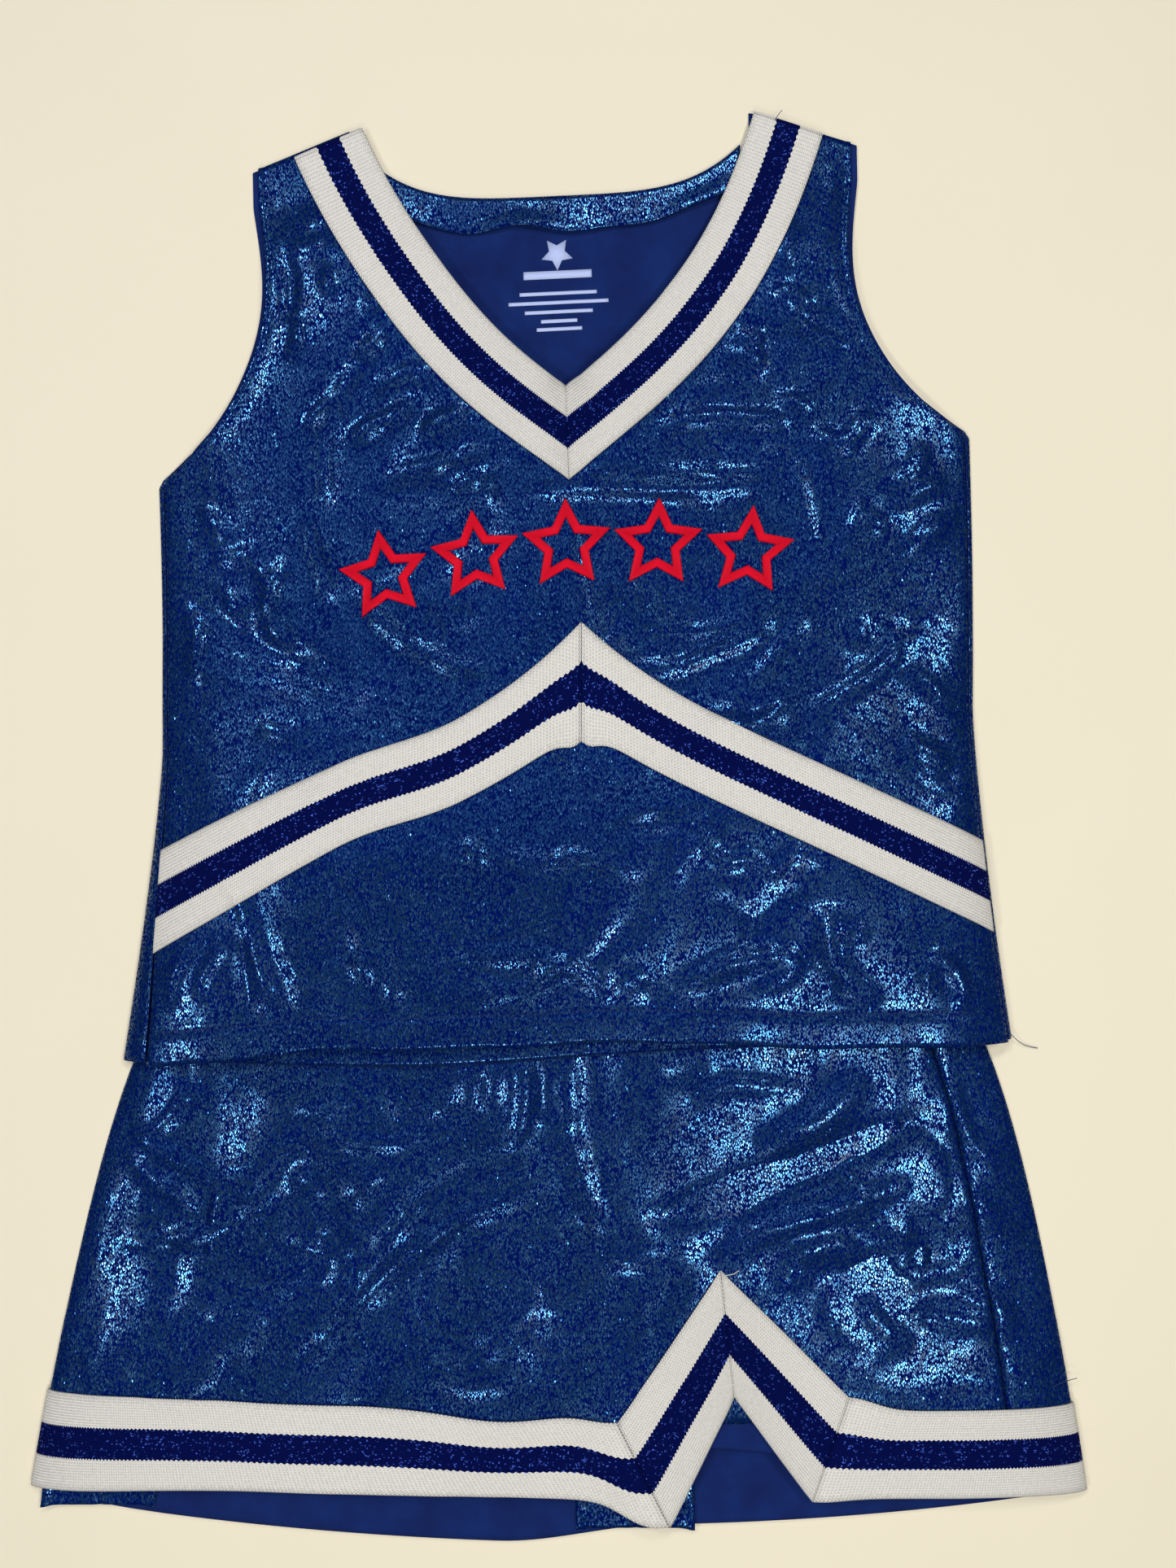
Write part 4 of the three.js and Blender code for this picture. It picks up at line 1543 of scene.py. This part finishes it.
@dataclass
class NeckLabel:
    """A printed label inside the back neck: plain bars and a small star, with no lettering."""

    shell: Shell
    y: float = 332.0
    star_y: float = 17.0
    star_points: float = 7.2
    star_inner: float = 3.6
    bars: Sequence[tuple[float, float, float]] = (
        (8, 30, 3.4), (0, 34, 1.5), (-4, 44, 1.5), (-8, 30, 1.5), (-12, 16, 1.5), (-15.5, 20, 1.5))

    def build(self) -> None:
        """Builds the label."""
        bm = bmesh.new()
        for height, width, tall in self.bars:
            made = bmesh.ops.create_grid(bm, x_segments=24, y_segments=2, size=0.5)
            for vert in made["verts"]:
                x, y = vert.co.x * width, self.y + height + vert.co.y * tall
                vert.co = self.place(x, y)
        star = bmesh.ops.create_circle(bm, cap_ends=True, cap_tris=True, segments=10, radius=1.0)
        for index, vert in enumerate(star["verts"]):
            angle = math.atan2(vert.co.y, vert.co.x)
            reach = self.star_inner if index % 2 else self.star_points
            if vert.co.length < 0.5:
                reach = 0.0
            middle = self.y + self.star_y
            vert.co = self.place(reach * math.cos(angle), middle + reach * math.sin(angle))
        bmesh.ops.recalc_face_normals(bm, faces=bm.faces)
        made = new_object("neck_label_print", bm, [Finish.PRINT])
        film = made.modifiers.new("film", "SOLIDIFY")
        film.thickness = 0.15 * MM
        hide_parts("neck_label")
        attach(made, "shell")
        log.info("%s", made.name)

    def place(self, x: float, y: float) -> Vector:
        """Place on the inside of the back.

        Args:
            x: Distance from the centre line.
            y: Height above the shell's hem.

        Returns:
            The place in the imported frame.
        """
        lx, ly = self.shell.laid(np.array([x]), np.array([y]))
        z = self.shell.back_z(np.zeros(1), np.array([y]))
        z = z + np.maximum(0.0, self.shell.back.rise(lx, ly) + 0.3)
        return Vector(to_frame(lx, ly, z + 0.55)[0])


# ---- The skirt -------------------------------------------------------------------------------


# The folds across the front of the skirt.
SKIRT_FOLDS = (
    Fold(((-196, -29), (-181, -42), (-164, -51), (-148, -62)), 1.9, 4.5, 0.8),
    Fold(((-198, -40), (-183, -53), (-168, -64), (-160, -68)), 1.7, 4.5, 0.8),
    Fold(((-196, -82), (-183, -84), (-168, -81), (-158, -79), (-143, -74), (-129, -68)), 1.2, 3.2, 0.6),
    Fold(((-122, -82), (-105, -88), (-94, -95)), 1.1, 3.2, 0.6),
    Fold(((-118, -25), (-106, -27), (-95, -21)), 1.2, 3.4, 0.7),
    Fold(((-104, -30), (-97, -38), (-84, -40), (-64, -38)), 1.4, 3.6, 0.6),
    Fold(((-64, -32), (-56, -25), (-50, -21), (-56, -15)), 1.2, 3.4, 0.7),
    Fold(((-120, -51), (-112, -58), (-104, -62)), 1.4, 5.0, 0.7),
    Fold(((-82, -53), (-89, -60), (-95, -69)), 1.4, 5.0, 0.7),
    Fold(((-119, -137), (-101, -120), (-87, -106), (-72, -91), (-46, -72), (-28, -65), (-6, -58)),
         1.7, 4.4, 0.5),
    Fold(((-92, -98), (-80, -86), (-66, -66), (-38, -48)), -1.5, 5.0, 0.8),
    Fold(((-160, -118), (-140, -112), (-120, -122)), 1.0, 6.0, 0.6),
    Fold(((-43, -1), (-42, -9), (-43, -14)), 1.2, 2.4, 0.8),
    Fold(((-34, 2), (-33, -14), (-34, -26)), 1.6, 2.6, 0.8),
    Fold(((-30, 0), (-29, -18), (-31, -34)), 1.3, 2.4, 0.8),
    Fold(((-19, 2), (-17, -18), (-20, -34), (-28, -44)), 1.9, 3.0, 0.7),
    Fold(((-9, 0), (-10, -18), (-9, -30)), -1.7, 4.0, 1.0),
    Fold(((1, 0), (1, -34), (8, -58), (15, -80)), 1.5, 3.4, 0.6),
    Fold(((8, -84), (26, -92), (40, -86)), 1.2, 4.0, 0.6),
    Fold(((-41, -134), (-26, -122), (-10, -105)), 2.0, 9.0, 0.7),
    Fold(((34, -74), (70, -63), (104, -49), (162, -26)), -2.4, 9.0, 0.7),
    Fold(((84, -42), (108, -31), (130, -12)), 2.2, 8.0, 0.7),
    Fold(((64, -92), (84, -78), (112, -70), (150, -56)), 2.0, 6.0, 0.5),
    Fold(((96, -102), (102, -88), (118, -84), (134, -92)), 1.8, 7.0, 0.6),
    Fold(((56, -20), (70, -14), (100, -16)), 1.3, 4.0, 0.6),
    Fold(((128, -108), (138, -120), (150, -128)), 1.4, 5.0, 0.7),
    Fold(((168, -16), (176, -40), (190, -50)), 1.5, 4.0, 0.7),
    Fold(((176, -62), (188, -74), (200, -80)), 1.3, 4.0, 0.7),
    Fold(((172, -100), (184, -106), (196, -120)), 1.3, 4.0, 0.7),
)


@dataclass
class Skirt:
    """The A-line skirt, with a notch in its front hem."""

    waist_half: float = 157.0
    hem_half: float = 227.0
    flare_power: float = 0.48
    seam_y: float = 32.0
    hem_y: float = -195.0
    front_sag: float = 4.0
    back_sag: float = 19.0
    air: float = 6.4
    right_seam: float = 8 / 12
    back_seam: float = 23 / 12
    front_cut: float = 455.0
    back_cut: float = 235.0
    panel_length: float = 236.0
    notch_share: float = 0.32
    # the braid
    braid: float = 38.0
    hem_braid_cuts: tuple[float, float] = (500.0, 355.0)
    notch_braid_cut: float = 76.0
    braid_rise: float = 1.6
    braid_lift: float = 0.95
    braid_crown: float = 0.4
    # the seams' allowances
    allowance_cut: float = 150.0
    allowance_top: float = -60.0
    allowance_reach: float = 26.0
    front: Drape = field(default_factory=lambda: Drape(
        folds=(*SKIRT_FOLDS, *scattered(34, 22, 200, -150, -6)),
        broad=Ripple(31, 55, 150),
        fine=Ripple(32, 16, 50, 34),
        warp=Ripple(33, 40, 110),
    ))
    back: Drape = field(default_factory=lambda: Drape(
        folds=(),
        broad=Ripple(41, 70, 180),
        fine=Ripple(42, 30, 70),
        warp=Ripple(43, 50, 120),
        broad_height=0.3,
        fine_height=0.12,
    ))

    def __post_init__(self) -> None:
        """Works out the corners of the braid at the notch."""
        x, y = self.notch_share * self.hem_half, self.hem_y
        self.apex_outer = (x - 6, y + 99.5)
        self.apex_inner = (x, y + 44.5)
        self.corners = {
            -1: ((x - 28, y - 12), (x - 51, y + 33.5)),
            1: ((x + 34, y - 1), (x + 50, y + 44.5)),
        }

    def half(self, y: Array) -> Array:
        """Half the skirt's width at a height."""
        down = np.maximum(0.0, (self.seam_y - y) / (self.seam_y - self.hem_y))
        return lerp(self.waist_half, self.hem_half, down**self.flare_power)

    def hem_at(self, s: Array) -> Array:
        """Height of the hem round the skirt.

        Args:
            s: Places round the tube.

        Returns:
            The heights of the hem.
        """
        front, across = from_tube(s)
        x = across * self.hem_half
        corner = np.where(front, 12.5 * bump(x, self.corners[-1][0][0], 20), 0.0)
        sag = np.where(front, self.front_sag, self.back_sag) * (1 - across**2)
        low = np.where(front, 0.0, 7.8) * (1 - smooth(x, -30, 40)) * (1 - across**6)
        return self.hem_y + 5 - sag - corner - 3 * across - low - 4 * bump(x, -235, 60)

    def back_z(self, y: Array) -> Array:
        """Middle of the back's cloth, which rests on its own braid near the hem."""
        return FABRIC / 2 + self.braid_rise * (1 - smooth(y, self.hem_y + 42, self.hem_y + 112))

    def front_z(self, across: Array, y: Array) -> Array:
        """Middle of the front's cloth, without folds."""
        return self.back_z(y) + self.air * roll(across)

    def rise(self, x: Array, y: Array) -> Array:
        """Height of the front's folds, with the gathers under the waistband.

        Args:
            x: Distances from the centre line.
            y: Heights above the shell's hem.

        Returns:
            The height at each place.
        """
        across = np.abs(x) / self.half(y)
        sides = 1 - smooth(across, 0.93, 0.995)
        gather = 1.3 * np.exp(-np.maximum(0.0, self.seam_y - y) / 34)
        gather = gather * (0.2 + bump(x, -14, 26) + 0.3 * bump(x, 120, 40))
        pleats = gather * np.sin(x / 2.6 + 2.4 * np.sin(x / 13) + y * 0.03)
        hem = lerp(0.5, 1.0, smooth(y, self.hem_y + 20, self.hem_y + 70))
        under_shell = lerp(1.0, 0.25, smooth(y, -12, 4))
        folds = shallow(self.front.rise(x, y), DEEPEST) * hem * under_shell
        return (folds + pleats * lerp(1.0, 0.6, smooth(y, -12, 4))) * sides

    def swung(self, x: Array, y: Array) -> Array:
        """Widens the left side a little, as the skirt lies."""
        down = np.clip(y / self.hem_y, 0, 1)
        return x - lerp(4, 8, down) * smooth(-x, 20, 190) * (1 - smooth(y, 0, 30))

    def point(self, s: Array, y: Array) -> Place:
        """Place of the smooth skirt.

        Args:
            s: Places round the tube.
            y: Heights above the shell's hem.

        Returns:
            The places.
        """
        front, across = from_tube(s)
        z = np.where(front, self.front_z(across, y), self.back_z(y))
        return self.swung(self.half(y) * across, y), y, z

    def panel(self, name: str, start: float, end: float, width: float, rests_on: Sequence[str],
              hole: Callable[[Array, Array], Array] | None = None) -> None:
        """One panel, between two seams.

        Args:
            name: The panel's name.
            start: Where its first seam is, round the tube.
            end: Where its second is.
            width: Width of the cut.
            rests_on: What it lies on; not used.
            hole: Says which places are cut away.
        """

        def surface(u: Array, v: Array) -> Place:
            """Middle of its cloth at shares of the cut."""
            s = lerp(start + SEAM_GAP, end - SEAM_GAP, u)
            y = lerp(self.hem_at(s), self.seam_y - 0.6, v)
            x, _, z = self.point(s, y)
            front, across = from_tube(s)
            lying = np.maximum(0.0, self.back.rise(x, y) + 0.2) * (1 - bump(y, self.hem_y - 10, 40))
            z = z + np.where(front, self.rise(x, y), lying)
            from_seam = np.minimum(u, 1 - u) * width
            return x, y, z - np.where(front, 0.6, 0.0) * bump(from_seam, 0, 2.0)

        Cloth(name, surface, (width, self.panel_length), hole=hole).dress("skirt")

    def in_notch(self, x: Array, y: Array) -> Array:
        """Whether a place is in the notch, up to a tuck under its braid.

        Args:
            x: Distances from the centre line.
            y: Heights above the shell's hem.

        Returns:
            Whether each is cut away.
        """
        tuck = 5.0
        top = self.apex_inner[1] + tuck
        share = (top - y) / (top - self.hem_y)
        left = lerp(self.apex_inner[0], self.corners[-1][0][0] - tuck + 2, share)
        right = lerp(self.apex_inner[0], self.corners[1][0][0] + tuck, share)
        return (y < top) & (x > left) & (x < right)

    def hem_braid(self, side: int) -> None:
        """The hem's braid from the notch round one fold to the back seam.

        Args:
            side: -1 for the left and 1 for the right.
        """
        inner, outer = self.corners[side]
        back = (self.back_seam if side > 0 else self.back_seam - 4) - side * SEAM_GAP

        def surface(u: Array, v: Array) -> Place:
            """Middle of its cloth at shares of the cut."""
            x, y = (lerp(a, b, v) for a, b in zip(inner, outer))
            mitre = tube_at(x + side * MITRE_GAP, self.half(y))
            s = lerp(mitre, back, u) if side > 0 else lerp(back, mitre, u)
            near = bump((s - mitre) * self.hem_half, 0, 12)
            _, share = from_tube(s)
            narrow = 0.14 * bump(share * self.hem_half, -28, 32)
            width = self.braid * (1 - narrow + 0.1 * bump(share, -1, 0.3))
            height = lerp(self.hem_at(s) + v * width, y, near)
            x, y, z = self.point(s, height)
            front, across = from_tube(s)
            away = np.abs(s - mitre) * 1.55 * self.hem_half
            lift = self.braid_lift + crowned(v, self.braid_crown) - pinched(away)
            out = 1 - roll(across)
            z = z + np.where(front, (self.rise(x, y) + lift) * (1 - 0.75 * out), -self.braid_lift)
            return x + np.sign(across) * 0.9 * out * np.where(front, 1.0, 0.7), y, z

        self.sew_braid("hem_braid", side, surface, self.hem_braid_cuts[side > 0])

    def notch_braid(self, side: int) -> None:
        """One leg of the notch's braid.

        Args:
            side: -1 for the left and 1 for the right.
        """
        foot_inner, foot_outer = self.corners[side]

        def surface(u: Array, v: Array) -> Place:
            """Middle of its cloth at shares of the cut."""
            along = 1 - u if side > 0 else u
            x, y = (
                lerp(lerp(a, b, v), lerp(c, d, v), along)
                for a, b, c, d in zip(foot_inner, foot_outer, self.apex_inner, self.apex_outer)
            )
            ends = np.minimum(along, 1 - along) * self.notch_braid_cut
            lift = self.braid_lift + crowned(v, self.braid_crown) - pinched(ends)
            z = self.front_z(x / self.half(y), y) + self.rise(x, y)
            return x + side * MITRE_GAP * (2 * along - 1), y, z + lift

        self.sew_braid("notch_braid", side, surface, self.notch_braid_cut)

    def sew_braid(self, part: str, side: int, surface: Surface, length: float) -> None:
        """Sews on a length of braid.

        Args:
            part: The braid's name, without its side.
            side: -1 for the left and 1 for the right.
            surface: Where it lies.
            length: Its length.
        """
        cut = (length, self.braid)
        cloth = Cloth(part + SIDES[side], surface, cut, (Finish.SKIRT_BRAID,) * 2, 2.0, 1.1)
        cloth.dress("skirt")

    def allowance(self, name: str, s: float, low: float, high: float) -> None:
        """A seam's allowances pressed open inside the back, with overlocked edges.

        Args:
            name: The piece's name.
            s: Where the seam is.
            low: How far they reach to the left of it, mm.
            high: How far they reach to the right of it, mm.
        """

        def surface(u: Array, v: Array) -> Place:
            """Middle of its cloth at shares of the cut."""
            y = lerp(self.hem_at(np.full(np.shape(u), s)) - 0.5, self.allowance_top, v)
            middle = self.swung(self.half(y) * np.sin((2 - s) * math.pi / 2), y)
            x = middle + lerp(low, high, u)
            edge = np.minimum(u, 1 - u) * (high - low)
            seam = np.abs(x - middle)
            ruffle = 0.5 * np.exp(-edge / 3) * (1 + np.sin(y / 2.2))
            turned = 0.5 * bump(edge, 1.5, 2) + ruffle
            z = self.back_z(y) + 0.95 + turned - 0.5 * bump(seam, 0, 1.6)
            return x, y - 1.0 * bump(edge, 0, 4) * (1 - v), z

        Cloth(name, surface, (high - low, self.allowance_cut), step=1.6, thickness=0.5).dress(
            "skirt", node=False)

    def build(self) -> None:
        """Builds the skirt's panels, braid and seams."""
        left_seam = self.right_seam - 2
        backs = ["skirt_back_panel_left_cloth", "skirt_back_panel_right_cloth"]
        self.panel("skirt_front_panel", left_seam, self.right_seam, self.front_cut, backs, self.in_notch)
        seams = {1: (self.right_seam, self.back_seam), -1: (self.back_seam, left_seam + 4)}
        for side, (start, end) in seams.items():
            self.panel("skirt_back_panel" + SIDES[side], start, end, self.back_cut, ["table_top"])
        for side in (-1, 1):
            self.hem_braid(side)
            self.notch_braid(side)
        reach = self.allowance_reach
        self.allowance("back_seam_allowance", self.back_seam, -reach, reach)
        self.allowance("left_seam_allowance", left_seam + 4, -reach, reach - 2)


@dataclass(frozen=True)
class FlatLoop:
    """A flattened band seen end on: two level runs joined by half rounds.

    Attributes:
        straight: Length of each run, mm.
        radius: Radius of the half rounds, mm.
        base: Height of the lower run, mm.
    """

    straight: float
    radius: float
    base: float

    @property
    def trip(self) -> float:
        """Length all the way round, mm."""
        return 2 * self.straight + 2 * math.pi * self.radius

    def at(self, u: Array) -> tuple[Array, Array, Array]:
        """Where a share of the way round is.

        Args:
            u: Shares of the way round.

        Returns:
            The distances round, the places across and the heights, mm.
        """
        gone = np.mod(u, 1.0) * self.trip
        beyond = gone - self.straight - math.pi * self.radius
        first = np.clip((gone - self.straight) / self.radius, 0, math.pi)
        last = np.clip((beyond - self.straight) / self.radius, 0, math.pi)
        out = self.straight / 2
        x = np.where(beyond < 0, np.minimum(gone, self.straight) - out + self.radius * np.sin(first),
                     out - np.clip(beyond, 0, self.straight) - self.radius * np.sin(last))
        round_z = self.radius * np.where(beyond < 0, -np.cos(first), np.cos(last))
        return gone, x, self.base + self.radius + round_z


@dataclass
class Waist:
    """The skirt's elasticated waistband, lying flat under the shell."""

    skirt: Skirt
    height: float = 50.0
    ruche: float = 0.28

    def ring(self, name: str, inset: float, low: float, high: float, thickness: float,
             finish: Finish) -> None:
        """A flattened band that goes all the way round.

        Args:
            name: The piece's name, which is its CAD node's.
            inset: How far the middle of its cloth is inside the waistband's outside, mm.
            low: Its lower edge.
            high: Its upper edge.
            thickness: Its thickness, mm.
            finish: Its finish.
        """
        radius = (FABRIC + self.skirt.air) / 2 - inset
        loop = FlatLoop(2 * (self.skirt.waist_half - inset - radius), radius, inset)

        def surface(u: Array, v: Array) -> Place:
            """Middle of its cloth at shares of the cut."""
            gone, x, z = loop.at(u)
            fade = np.sin(math.pi * v) ** 0.4
            ripple = self.ruche * np.sin(gone * 1.1 + 0.9 * np.sin(gone / 9)) * fade
            upper = np.where(z > inset + radius, 1.0, 0.6)
            return x, lerp(low, high, v), np.maximum(z + ripple * upper, inset)

        Cloth(name, surface, (loop.trip, high - low), (finish, finish), 1.9, thickness,
              closed=True).dress("skirt")

    def build(self) -> None:
        """Builds the band and the elastic inside it."""
        low, high = self.skirt.seam_y, self.skirt.seam_y + self.height
        self.ring("waistband", 0.4, low, high, 0.6, Finish.FOIL)
        self.ring("waist_elastic", 1.9, low + 6, high - 6, 0.9, Finish.ELASTIC)


@dataclass
class Shorts:
    """The shorts sewn inside the skirt, whose leg edge shows in the notch."""

    skirt: Skirt
    crotch_half: float = 18.0
    lift: float = 1.2
    band_height: float = 12.0
    waist_share: float = 0.83
    hip_share: float = 0.7
    crotch_rise: float = 47.0
    band_rise: float = 32.0
    panel_length: float = 195.0
    gusset_length: float = 34.0

    def __post_init__(self) -> None:
        """Works out their sizes from the skirt's."""
        self.waist_half = self.waist_share * self.skirt.waist_half
        self.hip_half = self.hip_share * self.skirt.hem_half
        self.crotch_y = self.skirt.hem_y + self.crotch_rise
        self.band_y = self.skirt.hem_y + self.band_rise
        self.leg_half = (self.hip_half - 6 - self.crotch_half) / 2

    def half(self, y: Array) -> Array:
        """Half their width at a height."""
        down = self.skirt.seam_y - y
        return lerp(self.waist_half, self.hip_half, smooth(down, 0, 120)) - 6 * smooth(down, 120, 200)

    def in_crotch(self, x: Array, y: Array) -> Array:
        """Whether a place is between the legs."""
        share = np.clip((self.crotch_y - y) / (self.crotch_y - self.band_y), 0, 1)
        return (y < self.crotch_y) & (np.abs(x) < self.crotch_half * lerp(0.4, 1.0, share))

    def panel(self, name: str, height: Callable[[Array], Array], outward: int) -> None:
        """The front or the back.

        Args:
            name: The panel's name.
            height: Height of its cloth above the table.
            outward: 1 where its outer face looks up and -1 where it looks down.
        """

        def surface(u: Array, v: Array) -> Place:
            """Middle of its cloth at shares of the cut."""
            y = lerp(self.band_y + 0.3, self.skirt.seam_y - 0.6, v)
            x = (2 * u - 1) * self.half(y) * outward
            return x, y, height(y) + 0.2 * np.sin(x / 9 + np.sin(y / 14))

        cut = (2 * self.hip_half, self.panel_length)
        Cloth(name, surface, cut, hole=self.in_crotch, step=4.0).dress(
            "skirt")

    def leg_band(self, side: int) -> None:
        """The elastic band round one leg, topstitched at its edge.

        Args:
            side: -1 for the left and 1 for the right.
        """
        base = self.skirt.back_z(self.band_y - 1) + self.lift
        radius = self.skirt.air / 2 - self.lift
        loop = FlatLoop(2 * (self.leg_half - radius), radius, base)

        def surface(u: Array, v: Array) -> Place:
            """Middle of its cloth at shares of the cut."""
            _, x, z = loop.at(u)
            middle = side * (self.crotch_half + self.leg_half)
            y = self.band_y - self.band_height * (1 - v) - 1.6 * np.sin(x / 16)
            return x + middle, y, z - 0.35 * bump(v, 0.3, 0.09) * np.sign(z - base - radius)

        Cloth("leg_band" + SIDES[side], surface, (loop.trip, self.band_height), step=1.4,
              closed=True).dress("skirt")

    def gusset(self) -> None:
        """The piece between the legs."""

        def surface(u: Array, v: Array) -> Place:
            """Middle of its cloth at shares of the cut."""
            y = self.crotch_y + 2 + self.gusset_length * v
            return (2 * u - 1) * self.crotch_half, y, self.skirt.back_z(y) + self.lift + 1.2

        cut = (2 * self.crotch_half, self.gusset_length)
        Cloth("shorts_gusset", surface, cut, (Finish.DULL,) * 2, 2.0).dress(
            "skirt")

    def build(self) -> None:
        """Builds the shorts."""
        skirt = self.skirt
        self.panel("shorts_front_panel", lambda y: skirt.back_z(y) + skirt.air - self.lift, 1)
        self.panel("shorts_back_panel", lambda y: skirt.back_z(y) + self.lift, -1)
        self.gusset()
        for side in (-1, 1):
            self.leg_band(side)


@dataclass
class LooseThreads:
    """Short cut ends of sewing thread."""

    radius: float = 0.16

    def build(self) -> None:
        """Lays each thread."""
        over_hem = ((191, 9.5, 6), (195, 6, 3), (199.5, 2, 1.2), (204, 0.4, 0.6), (207, 0, 0.5))
        over_shoulder = ((91, 407, 4.4), (92, 409.5, 4.6), (94, 411.5, 4.2))
        chevron = ((23, 130, 8.9), (27, 127, 9.2), (33, 123.5, 9.4), (39, 122, 9.2))
        apex = ((67, -98, 10.6), (69.5, -96.4, 10.9), (72, -96.6, 10.6), (74.5, -95, 10.0))
        braid_edge = ((211, -147, 6.8), (216, -144.6, 6.4), (223, -143.8, 4.6))
        for name, line, finish, body in (
            ("loose_thread_hem", over_hem, Finish.THREAD, "shell"),
            ("loose_thread_shoulder", over_shoulder, Finish.THREAD, "shell"),
            ("loose_thread_chevron", chevron, Finish.WHITE_THREAD, "shell"),
            ("loose_thread_notch", apex, Finish.WHITE_THREAD, "skirt"),
            ("loose_thread_braid", braid_edge, Finish.THREAD, "skirt"),
        ):
            x, y, z = (np.array(values, float) for values in zip(*line))
            made = tube(name, to_frame(x, y, z), self.radius, finish)
            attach(made, body)
            log.info("%s", name)


# ---- The room --------------------------------------------------------------------------------


@dataclass(frozen=True)
class Lamp:
    """A square soft light that faces the uniform.

    Attributes:
        name: Its name.
        place: Where it hangs, in metres.
        power: Its power, in watts.
        colour: Its colour.
        size: Its width, in metres.
    """

    name: str
    place: tuple[float, float, float]
    power: float
    colour: tuple[float, float, float]
    size: float = 0.27


@dataclass
class Studio:
    """A pale table under soft light, and a camera straight above, whose place is in metres."""

    camera_place: tuple[float, float, float] = (0.0085, 0.017, 0.672)
    lens: float = 35.0
    sensor: float = 36.0
    table_half: float = 3.0
    table_gap: float = 0.3
    air: tuple[float, float, float, float] = (0.4, 0.55, 1.0, 1.0)
    air_strength: float = 0.1
    lamps: Sequence[Lamp] = (
        Lamp("lamp_right", (0.42, -0.5, 1.5), 9.5, (1.0, 0.97, 0.92)),
        Lamp("lamp_left", (-0.95, -0.4, 1.55), 8.0, (1.0, 0.97, 0.93)),
        Lamp("lamp_shoulder", (0.82, 0.5, 1.55), 8.0, (1.0, 0.96, 0.9)),
        Lamp("lamp_head", (0.1, 1.15, 1.5), 6.5, (1.0, 0.98, 0.95)),
        Lamp("lamp_foot", (-0.15, -1.3, 1.45), 6.5, (1.0, 0.98, 0.95)),
        Lamp("window", (-0.7, 0.8, 1.6), 8.5, (1.0, 0.99, 0.97)),
        Lamp("ceiling", (-0.25, 0.5, 1.6), 2.0, (0.12, 0.34, 1.0), 0.9),
    )

    def table(self) -> None:
        """The table top that the uniform lies on."""
        bm = bmesh.new()
        bmesh.ops.create_grid(bm, x_segments=2, y_segments=2, size=self.table_half)
        bmesh.ops.translate(bm, verts=bm.verts, vec=(0, 0, -self.table_gap * MM))
        new_object("table_top", bm, [Finish.TABLE])

    def light(self, lamp: Lamp) -> None:
        """Hangs a lamp.

        Args:
            lamp: The lamp.
        """
        data = bpy.data.lights.new(lamp.name, "AREA")
        data.shape = "SQUARE"
        data.size = lamp.size
        data.energy = lamp.power
        data.color = lamp.colour
        made = bpy.data.objects.new(lamp.name, data)
        made.location = lamp.place
        made.rotation_euler = (-Vector(lamp.place)).to_track_quat("-Z", "Y").to_euler()
        bpy.context.scene.collection.objects.link(made)

    def build(self) -> None:
        """Builds the table, the lights and the camera."""
        self.table()
        for lamp in self.lamps:
            self.light(lamp)
        world = bpy.data.worlds.new("room")
        world.use_nodes = True
        background = world.node_tree.nodes["Background"]
        background.inputs["Color"].default_value = self.air
        background.inputs["Strength"].default_value = self.air_strength
        bpy.context.scene.world = world
        bpy.context.scene.view_settings.view_transform = "Standard"
        data = bpy.data.cameras.new("camera")
        data.lens = self.lens
        data.sensor_width = self.sensor
        camera = bpy.data.objects.new("camera", data)
        camera.location = self.camera_place
        bpy.context.scene.collection.objects.link(camera)
        bpy.context.scene.camera = camera


def main() -> None:
    """Builds the uniform in order."""
    logging.basicConfig(level=logging.INFO, format="%(message)s")
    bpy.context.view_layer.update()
    Studio().build()
    shell = Shell()
    shell.build()
    shell.sew()
    ChestMotif(shell).build()
    NeckLabel(shell).build()
    skirt = Skirt()
    skirt.build()
    Waist(skirt).build()
    Shorts(skirt).build()
    LooseThreads().build()


if __name__ == "__main__":
    main()
